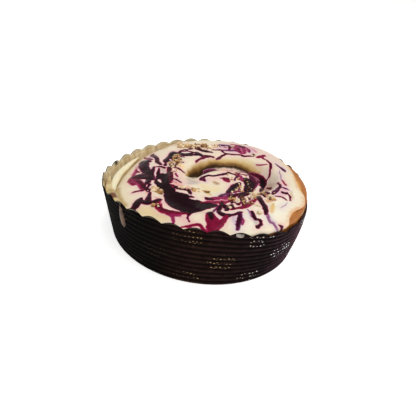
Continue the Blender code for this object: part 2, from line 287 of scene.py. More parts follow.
# %% The spiral groove
COIL_X, COIL_Y = 12 * MM, -6 * MM
GROOVE_START = 160.0
GROOVE_END = 555.0
GROOVE_RADII = (38.5 * MM, 19.5 * MM, 22.0 * MM)     # at its start, in front and at its end
GROOVE_SWELL = 3.0 * MM        # further out at the right
GROOVE_DEPTHS = (2.0 * MM, 9.5 * MM)
GROOVE_WIDTHS = (4.5 * MM, 9.5 * MM)


def cloud(x, y, size, seed=0.0):
    """Smooth noise from about -1 to 1 over points of the top; size is its grain in metres."""
    return np.array([noise.noise(Vector((a, b, seed))) for a, b in zip(x / size, y / size)])


def groove(x, y):
    """Depth of the spiral groove."""
    across, along = x - COIL_X, y - COIL_Y
    reach = np.hypot(across, along)
    angle = np.degrees(np.arctan2(along, across)) % 360
    outer, front, inner = GROOVE_RADII
    depth = np.zeros_like(x)
    for turn in (angle, angle + 360):
        radius = outer + (front - outer) * smooth(235, 290, turn) + (inner - front) * smooth(310, 350, turn)
        radius += GROOVE_SWELL * smooth(320, 370, turn) * (1 - smooth(400, 450, turn))
        away = reach - radius
        deep = smooth(335, 380, turn) * (1 - smooth(485, 540, turn))
        wide = smooth(360, 410, turn) * (1 - smooth(440, 505, turn)) * (away > 0)
        width = GROOVE_WIDTHS[0] + (GROOVE_WIDTHS[1] - GROOVE_WIDTHS[0]) * wide
        fade = smooth(GROOVE_START - 15, GROOVE_START + 15, turn) * (1 - smooth(535, GROOVE_END, turn))
        size = (GROOVE_DEPTHS[0] + (GROOVE_DEPTHS[1] - GROOVE_DEPTHS[0]) * deep) * fade
        depth = np.maximum(depth, size * np.exp(-(np.abs(away) / width) ** 2.5))
    return depth


print("groove at its deepest:", GROOVE_DEPTHS[1] / MM, "mm")

# %% Height of the dough's top
CREST = 33.8 * MM              # dough height half way out
TILT = (0.030, 0.026)          # the top rises towards the back right
TOP_SHARE = 0.95               # share of the dough's height at which the top's outline is taken
LEFT_GAP = 10.5 * MM           # between the dough's top and the case at the left
LEFT_SPAN = (172, 72)          # where the dough stands away from the case, in degrees
LEFT_SLOPE = (165, 85)         # where its top slopes down
LEFT_DROP = 3.5 * MM
SHOULDER = 1.0 * MM            # how far the top rounds down to its edge,
LEFT_SHOULDER = 3.5 * MM       # and how much more at the left
BACK_BENDS = ((110, 50, -1.1 * MM), (62, 27, 0.7 * MM))
COIL_DROP = 1.8 * MM           # the coil's middle lies lower than the outer turn
COIL_EDGE = (14 * MM, 24 * MM)
WAVES = 0.8 * MM               # soft unevenness of the top, and its size across
WAVE_SIZE = 16 * MM


def top_outline(angle):
    """Radius of the dough's top, drawn in from the case at the left."""
    return dough_radius(angle, TOP_SHARE) - LEFT_GAP * bump(angle, *LEFT_SPAN)


def dough_height(x, y):
    """Height of the dough's top."""
    angle = np.arctan2(y, x)
    share = np.hypot(x, y) / top_outline(angle)
    left = bump(angle, *LEFT_SLOPE)
    rim = np.clip((share - 0.75) / 0.25, 0, 1)
    height = CREST + TILT[0] * x + TILT[1] * y
    height -= (SHOULDER + LEFT_SHOULDER * left) * (1 - np.sqrt(1 - rim * rim))
    height -= LEFT_DROP * left * smooth(0.4, 1.0, share)
    height += sum(bump(angle, *bend) for bend in BACK_BENDS) * smooth(0.6, 0.95, share)
    height -= COIL_DROP * (1 - smooth(*COIL_EDGE, np.hypot(x - COIL_X, y - COIL_Y)))
    return height + WAVES * cloud(x, y, WAVE_SIZE) - groove(x, y)


def on_top(share, angle):
    """Where a share of the way out from the coil's centre lies, at an angle."""
    reach = top_outline(angle) * share
    inward = 1 - share ** 2
    return COIL_X * inward + reach * np.cos(angle), COIL_Y * inward + reach * np.sin(angle)


middle_height = dough_height(np.zeros(1), np.zeros(1))[0]
print("dough top at the middle:", round(float(middle_height) / MM, 1), "mm")

# %% [markdown]
# ## Spinning a piece
#
# The case, the dough and the icing are all turned forms, so each is spun from half of its section
# with the spin operator, as on a lathe. The sections of the dough and the icing are drawn in shares
# of their size. Afterwards each point's radius, angle and height say which part of the piece it is,
# and it moves to its place.

# %% Spin and place
MERGE = 0.1e-3 * MM            # points of the seam and the poles that lie this close are one


def spun(name, section, steps):
    """A closed turned mesh from a section that starts and ends on the axis."""
    bm = bmesh.new()
    points = [bm.verts.new((x, 0, z)) for x, z in section]
    edges = [bm.edges.new(pair) for pair in zip(points, points[1:])]
    bmesh.ops.spin(bm, geom=points + edges, cent=(0, 0, 0), axis=(0, 0, 1), dvec=(0, 0, 0),
                   angle=2 * math.pi, steps=steps, use_merge=True)
    bmesh.ops.remove_doubles(bm, verts=bm.verts[:], dist=MERGE)
    bmesh.ops.recalc_face_normals(bm, faces=bm.faces[:])
    mesh = bpy.data.meshes.new(name)
    bm.to_mesh(mesh)
    bm.free()
    return mesh


def points_of(mesh):
    """The mesh's points as three arrays."""
    flat = np.empty(len(mesh.vertices) * 3)
    mesh.vertices.foreach_get("co", flat)
    return flat.reshape(-1, 3).T.copy()


def move_points(mesh, x, y, z):
    """Put the mesh's points at new places."""
    mesh.vertices.foreach_set("co", np.stack([x, y, z], 1).ravel())
    mesh.update()


def note(mesh, name, values):
    """Keep one number, or one linear colour, at each point for the material to read."""
    if values.ndim == 1:
        mesh.attributes.new(name, "FLOAT", "POINT").data.foreach_set("value", values)
    else:
        held = np.concatenate([values, np.ones((len(values), 1))], 1)
        mesh.attributes.new(name, "FLOAT_COLOR", "POINT").data.foreach_set("color", held.ravel())


def show(name, mesh, slot, *materials, replaced=()):
    """Make the finished mesh a piece of the object, riding with the frame."""
    mesh.shade_smooth()
    for finish in materials:
        mesh.materials.append(finish)
    piece = bpy.data.objects.new(name, mesh)
    bpy.context.scene.collection.objects.link(piece)
    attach(piece, "root")
    if replaced:
        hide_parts(*replaced)
    print(name, "has", sum(len(face.vertices) - 2 for face in mesh.polygons), "triangles")


print("lathe ready")

# %% [markdown]
# ## The paper baking case
#
# Such a case is corrugated kraft paper, dyed dark brown outside and left tan inside. Its ribs run
# round it every 2.8 mm, and its rim is cut in 36 scallops. The ribs are real geometry here, because
# they catch light along their crests. The rows are close on the ribs and wide on the floor.

# %% Section of the case
RIB_ROWS = 96
INNER_ROWS = 36
CASE_COLUMNS = 432
CREST_POWER = 0.7              # under 1, so the crests are rounder than the grooves
FLOOR_MARGIN = 2 * MM          # from the wall's foot to the underside's first ring
THINNING = 0.88                # share of the height above which the wall tapers
EDGE_PAPER = 0.5 * MM          # to bare paper at the rim

section = [(0, 0), (BASE_RADIUS - FLOOR_MARGIN, 0)]
for i in range(RIB_ROWS + 1):
    share = i / RIB_ROWS
    crest = 0.5 + 0.5 * math.sin(2 * math.pi * share * RIB_COUNT)
    section.append((round_radius(share) - RIB_DEPTH * (1 - crest ** CREST_POWER), share * CASE_HEIGHT))
rim_point = section[-1]
wall = RIB_DEPTH + PAPER
for i in range(INNER_ROWS + 1):
    share = 1 - i / INNER_ROWS * (1 - FLOOR / CASE_HEIGHT)
    thinned = (rim_point[0] - EDGE_PAPER - RIM_RADIUS + wall) * smooth(THINNING, 1.0, share)
    section.append((round_radius(share) - wall + thinned, share * CASE_HEIGHT))
section.append((0, FLOOR))
case = spun("baking_case", section, CASE_COLUMNS)
print("case points:", len(case.vertices))

# %% [markdown]
# The spun case is perfectly round. A real one was pressed out of shape by its bun: the rim is cut in
# scallops, tilted and bent, and here and there its tips are scorched or dark with grease. The
# shader reads those places from an attribute.

# %% Bends of the case
SCALLOP_START = 0.93           # share of the height above which the wall is cut
SCORCHES = ((192, 3.4), (165, 3))                     # angle and width in degrees
DARK_TIPS = ((35, 52, 0.93, 0.96), (287, 62, 0.9, 0.93))     # and the shares of the height between

x, y, z = points_of(case)
angle = np.arctan2(y, x)
reach = np.hypot(x, y)
up = z / CASE_HEIGHT
half_way = round_radius(up) - RIB_DEPTH - PAPER / 2 + 0.6 * MM * smooth(0.9, 1.0, up)
outside = (reach > half_way) | (z < FLOOR / 2)
bent = angle + SCALLOP_TURN + SCALLOP_DRIFT * np.sin(angle)
scallop = SCALLOP_DEPTH * (1 - np.abs(np.cos(SCALLOP_COUNT / 2 * angle))) * smooth(SCALLOP_START, 1.0, up)
radius = np.where(reach > 0, bent_radius(reach, bent, up), 0)
move_points(case, radius * np.cos(bent), radius * np.sin(bent), up * rim_height(bent) - scallop)
scorched = sum(bump(bent, *spot) for spot in SCORCHES) * smooth(0.9, 0.94, up)
for centre, width, low, high in DARK_TIPS:
    scorched = np.maximum(scorched, bump(bent, centre, width) ** 0.3 * smooth(low, high, up))
note(case, "up", up)
note(case, "scorched", scorched)
for face in case.polygons:
    face.material_index = 0 if any(outside[corner] for corner in face.vertices) else 1
print("faces outside:", sum(face.material_index == 0 for face in case.polygons))

# %% [markdown]
# The print on the case is a common ornament: rosettes of gold dots in a half-drop repeat, eleven to
# a row. The corrugation squeezes them upright, and the ink only shows on the ribs' crests. The wall
# is rolled out flat in millimetres and wrapped into two grids of cells, half a step apart, and each
# place belongs to the nearer cell's rosette.

# %% Rosette grid on the kraft paper
ROSETTES = 11
ROSETTE_TURN = math.radians(79.5)
WALL_MIDDLE = 60.0             # mm, the wall's radius half way up
ROSETTE_STEP = 2 * math.pi * WALL_MIDDLE / ROSETTES      # mm of paper from one to the next
ROSETTE_DROP = 28.0            # mm, twice the half drop
ROSETTE_HEIGHT = 17.0          # mm from the table to the first row's middle
SQUEEZE = 1.45

kraft, tree, shader = start("dyed_corrugated_kraft_paper", Specular_IOR_Level=0.02)
space = add(tree, "TexCoord")["Object"]
apart = add(tree, "SeparateXYZ", {0: space})
turn = add(tree, "Math", {0: apart[1], 1: apart[0]}, operation="ARCTAN2")[0]
rolled = add(tree, "CombineXYZ", {0: turn, 1: apart[2]})[0]
half_cell = Vector((ROSETTE_STEP, ROSETTE_DROP * SQUEEZE, 0)) / 2
cells, reaches = [], []
for shift in (0.0, 0.5):
    start_x = WALL_MIDDLE * ROSETTE_TURN + shift * ROSETTE_STEP
    start_y = (shift * ROSETTE_DROP - ROSETTE_HEIGHT) * SQUEEZE
    flat = add(tree, "VectorMath", {0: rolled, 1: (WALL_MIDDLE, SQUEEZE / MM, 0), 2: (start_x, start_y, 0)},
               operation="MULTIPLY_ADD")[0]
    cells.append(add(tree, "VectorMath", {0: flat, 1: half_cell, 2: -half_cell}, operation="WRAP")[0])
    reaches.append(add(tree, "VectorMath", {0: cells[-1]}, operation="LENGTH")["Value"])
nearer = add(tree, "Math", {0: reaches[1], 1: reaches[0]}, operation="LESS_THAN")[0]
cell = add(tree, "Mix", {0: nearer, 4: cells[0], 5: cells[1]}, data_type="VECTOR")[1]
print("rosettes stand", round(ROSETTE_STEP, 1), "mm apart")

# %% [markdown]
# Each rosette is a middle dot and four rings of dots. A place's bearing in its cell is wrapped to the
# nearest dot of a ring, and its distance from that dot decides whether there is ink.

# %% Rosette dots
DOT_RINGS = ((0.01, 1), (1.8, 6), (3.4, 11), (5.1, 16), (6.8, 22))     # radius in mm, and how many
DOT = 0.42                     # mm, a dot's radius

cell_part = add(tree, "SeparateXYZ", {0: cell})
bearing = add(tree, "Math", {0: cell_part[1], 1: cell_part[0]}, operation="ARCTAN2")[0]
away = add(tree, "VectorMath", {0: cell}, operation="LENGTH")["Value"]
closest = None
for ring, count in DOT_RINGS:
    half_step = math.pi / count
    within = add(tree, "Math", {0: bearing, 1: half_step, 2: -half_step}, operation="WRAP")[0]
    along = add(tree, "Math", {0: within, 1: ring}, operation="MULTIPLY")[0]
    off = add(tree, "Math", {0: away, 1: ring}, operation="SUBTRACT")[0]
    from_dot = add(tree, "CombineXYZ", {0: along, 1: off})[0]
    gap = add(tree, "VectorMath", {0: from_dot}, operation="LENGTH")["Value"]
    closest = add(tree, "Math", {0: closest or gap, 1: gap}, operation="MINIMUM")[0]
ink = add(tree, "Math", {0: closest, 1: DOT}, operation="LESS_THAN")[0]
print("dots in a rosette:", sum(count for ring, count in DOT_RINGS))

# %% [markdown]
# The paper is dyed nearly black, and a painted sheen turns it purplish brown towards the right, where
# the light falls on it. It is matt, with fine fibres, and painted shade darkens the valleys between its
# ribs. The ink is a thin metal foil, so it alone is smoother and a little metallic. It is worn through
# in places, it fades out towards the shaded left as painted shade, and a painted silvery glint lies on it
# at the right.

# %% Dark printed kraft paper
upward = add(tree, "Attribute", attribute_name="up")["Fac"]
phase = add(tree, "Math", {0: upward, 1: 2 * math.pi * RIB_COUNT, 2: -math.pi / 2},
            operation="MULTIPLY_ADD")[0]
crest = add(tree, "Math", {0: phase}, operation="COSINE")[0]
pressed = add(tree, "Math", {0: crest, 1: 0.3}, operation="GREATER_THAN")[0]
wear = add(tree, "TexNoise", {"Vector": space, "Scale": 1 / (2.38 * MM), "Detail": 2.0})[0]
worn = add(tree, "Math", {0: wear, 1: 0.44}, operation="GREATER_THAN")[0]
# painted shade: the ink fades out towards the left, where the case lies in shade
aside = add(tree, "Math", {0: apart[0], 1: 1 / (120 * MM), 2: 0.5}, operation="MULTIPLY_ADD")[0]
ink_dimmed_in_shade = add(tree, "ValToRGB", {0: aside},
             stops=((0.3, 0.07), (0.43, 0.13), (0.5, 0.85), (0.62, 0.6), (0.8, 1.0)))[0]
for part in (pressed, worn, ink_dimmed_in_shade):
    ink = add(tree, "Math", {0: ink, 1: part}, operation="MULTIPLY")[0]
# gold foil that turns to a painted silvery glint towards the lit right
foil_with_painted_glint = add(tree, "ValToRGB", {0: aside}, stops=((0.5, "#A88F62"), (0.65, "#A8926A"), (0.8, "#D4D8DA")))[0]

fibre = add(tree, "TexNoise", {"Vector": space, "Scale": 1 / (3.85 * MM), "Detail": 6.0, "Roughness": 0.7})[0]
mottle = add(tree, "ValToRGB", {0: fibre}, stops=((0.3, "#6E6E6E"), (0.75, "#FFFFFF")))[0]
# painted sheen and shade: nearly black at the shaded left, purplish brown towards the lit right
painted_sheen_and_shade = add(tree, "ValToRGB", {0: aside}, stops=((0.1, "#060404"), (0.3, "#120B0A"), (0.5, "#33201B"),
                                                (0.78, "#2C1E22"), (0.9, "#5A404A"), (1.0, "#84606A")))[0]
dye_sheen_and_shade = add(tree, "Mix", {FACTOR: 1.0, FIRST: mottle, SECOND: painted_sheen_and_shade},
           data_type="RGBA", blend_type="MULTIPLY")[RESULT]
# painted shade: the valleys between the ribs are darkened, the crests kept lit
rib_shade_mix = add(tree, "Math", {0: crest, 1: 0.45, 2: 0.55}, operation="MULTIPLY_ADD")[0]
dye_sheen_and_shade = add(tree, "Mix", {FACTOR: rib_shade_mix, FIRST: "#080505", SECOND: dye_sheen_and_shade}, data_type="RGBA")[RESULT]
printed = add(tree, "Mix", {FACTOR: ink, FIRST: dye_sheen_and_shade, SECOND: foil_with_painted_glint}, data_type="RGBA")[RESULT]
tree.links.new(printed, shader.inputs["Base Color"])
rough = add(tree, "Math", {0: ink, 1: -0.3, 2: 0.68}, operation="MULTIPLY_ADD")[0]
tree.links.new(rough, shader.inputs["Roughness"])
metal = add(tree, "Math", {0: ink, 1: 0.6}, operation="MULTIPLY")[0]
tree.links.new(metal, shader.inputs["Metallic"])
relief = add(tree, "Bump", {"Height": fibre, "Distance": 0.2 * MM, "Strength": 0.5})[0]
tree.links.new(relief, shader.inputs["Normal"])
print("kraft paper has", len(tree.nodes), "nodes")

# %% [markdown]
# Inside, the paper is plain tan greaseproof with upright creases and a few buttery stains. The
# scallops' tips have faded to a greyish olive above a faint fold, unless they are scorched or dark.

# %% Tan inside paper
tan, tree, shader = start("tan_greaseproof_paper", Roughness=0.6, Specular_IOR_Level=0.3)
space = add(tree, "TexCoord")["Object"]
stretch = add(tree, "Mapping", {"Vector": space, "Scale": (1.0, 1.0, 0.25)})[0]
crease = add(tree, "TexNoise", {"Vector": stretch, "Scale": 1 / (3.33 * MM), "Detail": 4.0})[0]
paint = add(tree, "ValToRGB", {0: crease}, stops=((0.3, "#C5A776"), (0.5, "#E4CFA2"), (0.7, "#F7E9C6")))[0]
upward = add(tree, "Attribute", attribute_name="up")["Fac"]
tips = add(tree, "ValToRGB", {0: upward}, stops=((0.925, 0.0), (0.96, 0.75)))[0]
fold = add(tree, "ValToRGB", {0: upward}, stops=((0.91, 0.0), (0.928, 0.5), (0.945, 0.0)))[0]
stain = add(tree, "TexNoise", {"Vector": space, "Scale": 1 / (14.3 * MM), "Detail": 3.0})[0]
spots = add(tree, "ValToRGB", {0: stain}, stops=((0.62, 0.0), (0.72, 0.7)))[0]
burnt = add(tree, "Attribute", attribute_name="scorched")["Fac"]
for amount, colour in ((tips, "#BDB396"), (fold, "#8E6F48"), (spots, "#8A6A42"), (burnt, "#2A1C16")):
    paint = add(tree, "Mix", {FACTOR: amount, FIRST: paint, SECOND: colour}, data_type="RGBA")[RESULT]
tree.links.new(paint, shader.inputs["Base Color"])
relief = add(tree, "Bump", {"Height": crease, "Distance": 0.3 * MM, "Strength": 0.6})[0]
tree.links.new(relief, shader.inputs["Normal"])
show("baking_case", case, "case_paper", kraft, tan, replaced=["paper_case"])

# %% [markdown]
# ## The baked dough
#
# Most of the bun hides under icing, but a crescent of crust shows at the right. The dough is spun as
# a drum, its top is laid on the measured height, and its side leans softly on the paper.

# %% Dough shape
DOUGH_ROWS = 90
DOUGH_COLUMNS = 300
SIDE_HEIGHTS = (0.97, 0.92, 0.82, 0.72, 0.62, 0.46, 0.3, 0.16, 0.04)
SIDE_FILL = 0.9                # how far the side keeps to the top's outline below it
FOOT = 0.975                   # the underside's share of the side's foot
LEAN = 0.4 * MM                # how far soft dough leans into the gap beside the paper,
NO_LEAN = -66                  # but not round this angle, where icing runs down between them
NO_LEAN_SPAN = (16, 24)
PORES = 0.12 * MM              # height of the crust's fine bumps, and their size across
PORE_SIZE = 1.5 * MM

section = [(i / DOUGH_ROWS, 1.0) for i in range(DOUGH_ROWS + 1)]
section += [(1.0, share) for share in SIDE_HEIGHTS] + [(FOOT, 0.0), (0, 0)]
dough = spun("coiled_dough", section, DOUGH_COLUMNS)
x, y, z = points_of(dough)
share = np.hypot(x, y)
angle = np.arctan2(y, x)
top_x, top_y = on_top(np.minimum(share, 1.0), angle)
top_z = dough_height(top_x, top_y)
side = z < 1
room_radius = dough_radius(angle, z)
filled = (np.minimum(np.hypot(top_x, top_y), room_radius) - room_radius) * smooth(0.0, 0.5, z) * SIDE_FILL
leaning = smooth(*NO_LEAN_SPAN, np.abs(np.degrees(angle) - NO_LEAN))
lean = LEAN * (1 - bump(angle, *LEFT_SPAN) ** 0.3) * leaning
reach = np.where(z > 0, room_radius + filled + lean * smooth(0.5, 0.8, z), share * dough_radius(angle, 0.04))
top_lean = lean * smooth(0.9, 1.0, share)
new_x = np.where(side, reach * np.cos(angle), top_x + top_lean * np.cos(angle))
new_y = np.where(side, reach * np.sin(angle), top_y + top_lean * np.sin(angle))
new_z = np.where(side, FLOOR + GAP + z * (top_z - FLOOR - GAP), top_z)
new_z = np.where(z > 0, new_z, FLOOR + GAP)
new_z += PORES * smooth(0.85, 1.0, share) * cloud(new_x, new_y, PORE_SIZE, 17.0) * (z > 0.5)
move_points(dough, new_x, new_y, new_z)
note(dough, "shoulder", np.where(side, 1.0, smooth(0.86, 1.0, share)))
# painted light: the dough is lightened at the left, where it lies in shade beside the run
note(dough, "pale", 0.9 * bump(angle, 190, 75) ** 0.5)
print("dough from", round(float(new_z.min()) / MM, 1), "to", round(float(new_z.max()) / MM, 1), "mm")

# %% [markdown]
# Baked crust is golden where icing shaded it and deep orange-brown at the shoulder, where the oven's
# heat reached it. At the left, where it lies in the shaded gap under the icing, it is painted pale as
# painted light. Egg wash gives it a soft shine, and small olive-brown blisters and pores roughen it.

# %% Baked crust
crust, tree, shader = start("baked_sweet_dough", Roughness=0.42, Specular_IOR_Level=0.4)
space = add(tree, "TexCoord")["Object"]
shoulder = add(tree, "Attribute", attribute_name="shoulder")["Fac"]
patch = add(tree, "TexNoise", {"Vector": space, "Scale": 1 / (8.33 * MM), "Detail": 5.0, "Roughness": 0.6})[0]
heat = add(tree, "Math", {0: patch, 1: 0.9, 2: shoulder}, operation="MULTIPLY_ADD")[0]
paint = add(tree, "ValToRGB", {0: heat}, stops=((0.35, "#E0B062"), (0.6, "#D08E3A"), (0.85, "#C27A2C"),
                                               (1.0, "#AC6422")))[0]
blister = add(tree, "TexNoise",
              {"Vector": space, "Scale": 1 / (2.08 * MM), "Detail": 4.0, "Roughness": 0.7})[0]
spotted = add(tree, "ValToRGB", {0: blister}, stops=((0.52, 0.0), (0.64, 0.75)))[0]
# painted light that lifts the shade at the left
painted_light_at_left = add(tree, "Attribute", attribute_name="pale")["Fac"]
for amount, colour in ((spotted, "#96742E"), (painted_light_at_left, "#F0E2BE")):
    paint = add(tree, "Mix", {FACTOR: amount, FIRST: paint, SECOND: colour}, data_type="RGBA")[RESULT]
tree.links.new(paint, shader.inputs["Base Color"])
pores = add(tree, "TexNoise", {"Vector": space, "Scale": 1 / (1.43 * MM), "Detail": 3.0})[0]
relief = add(tree, "Bump", {"Height": pores, "Distance": 0.5 * MM, "Strength": 0.8})[0]
tree.links.new(relief, shader.inputs["Normal"])
show("coiled_dough", dough, "crust", crust, replaced=["roll"])

# %% [markdown]
# ## Jam in the icing
#
# The jam was pulled through the wet icing with a skewer, so it lies in tapered, hooked strokes, near
# black where it is thick and crimson or purple where it is thin. Every stroke is a smooth line through
# a few places, each with its own width, all in millimetres from the middle of the case. Strokes are
# laid one over another like paint, so a thin one of plain icing can fold back over the jam.

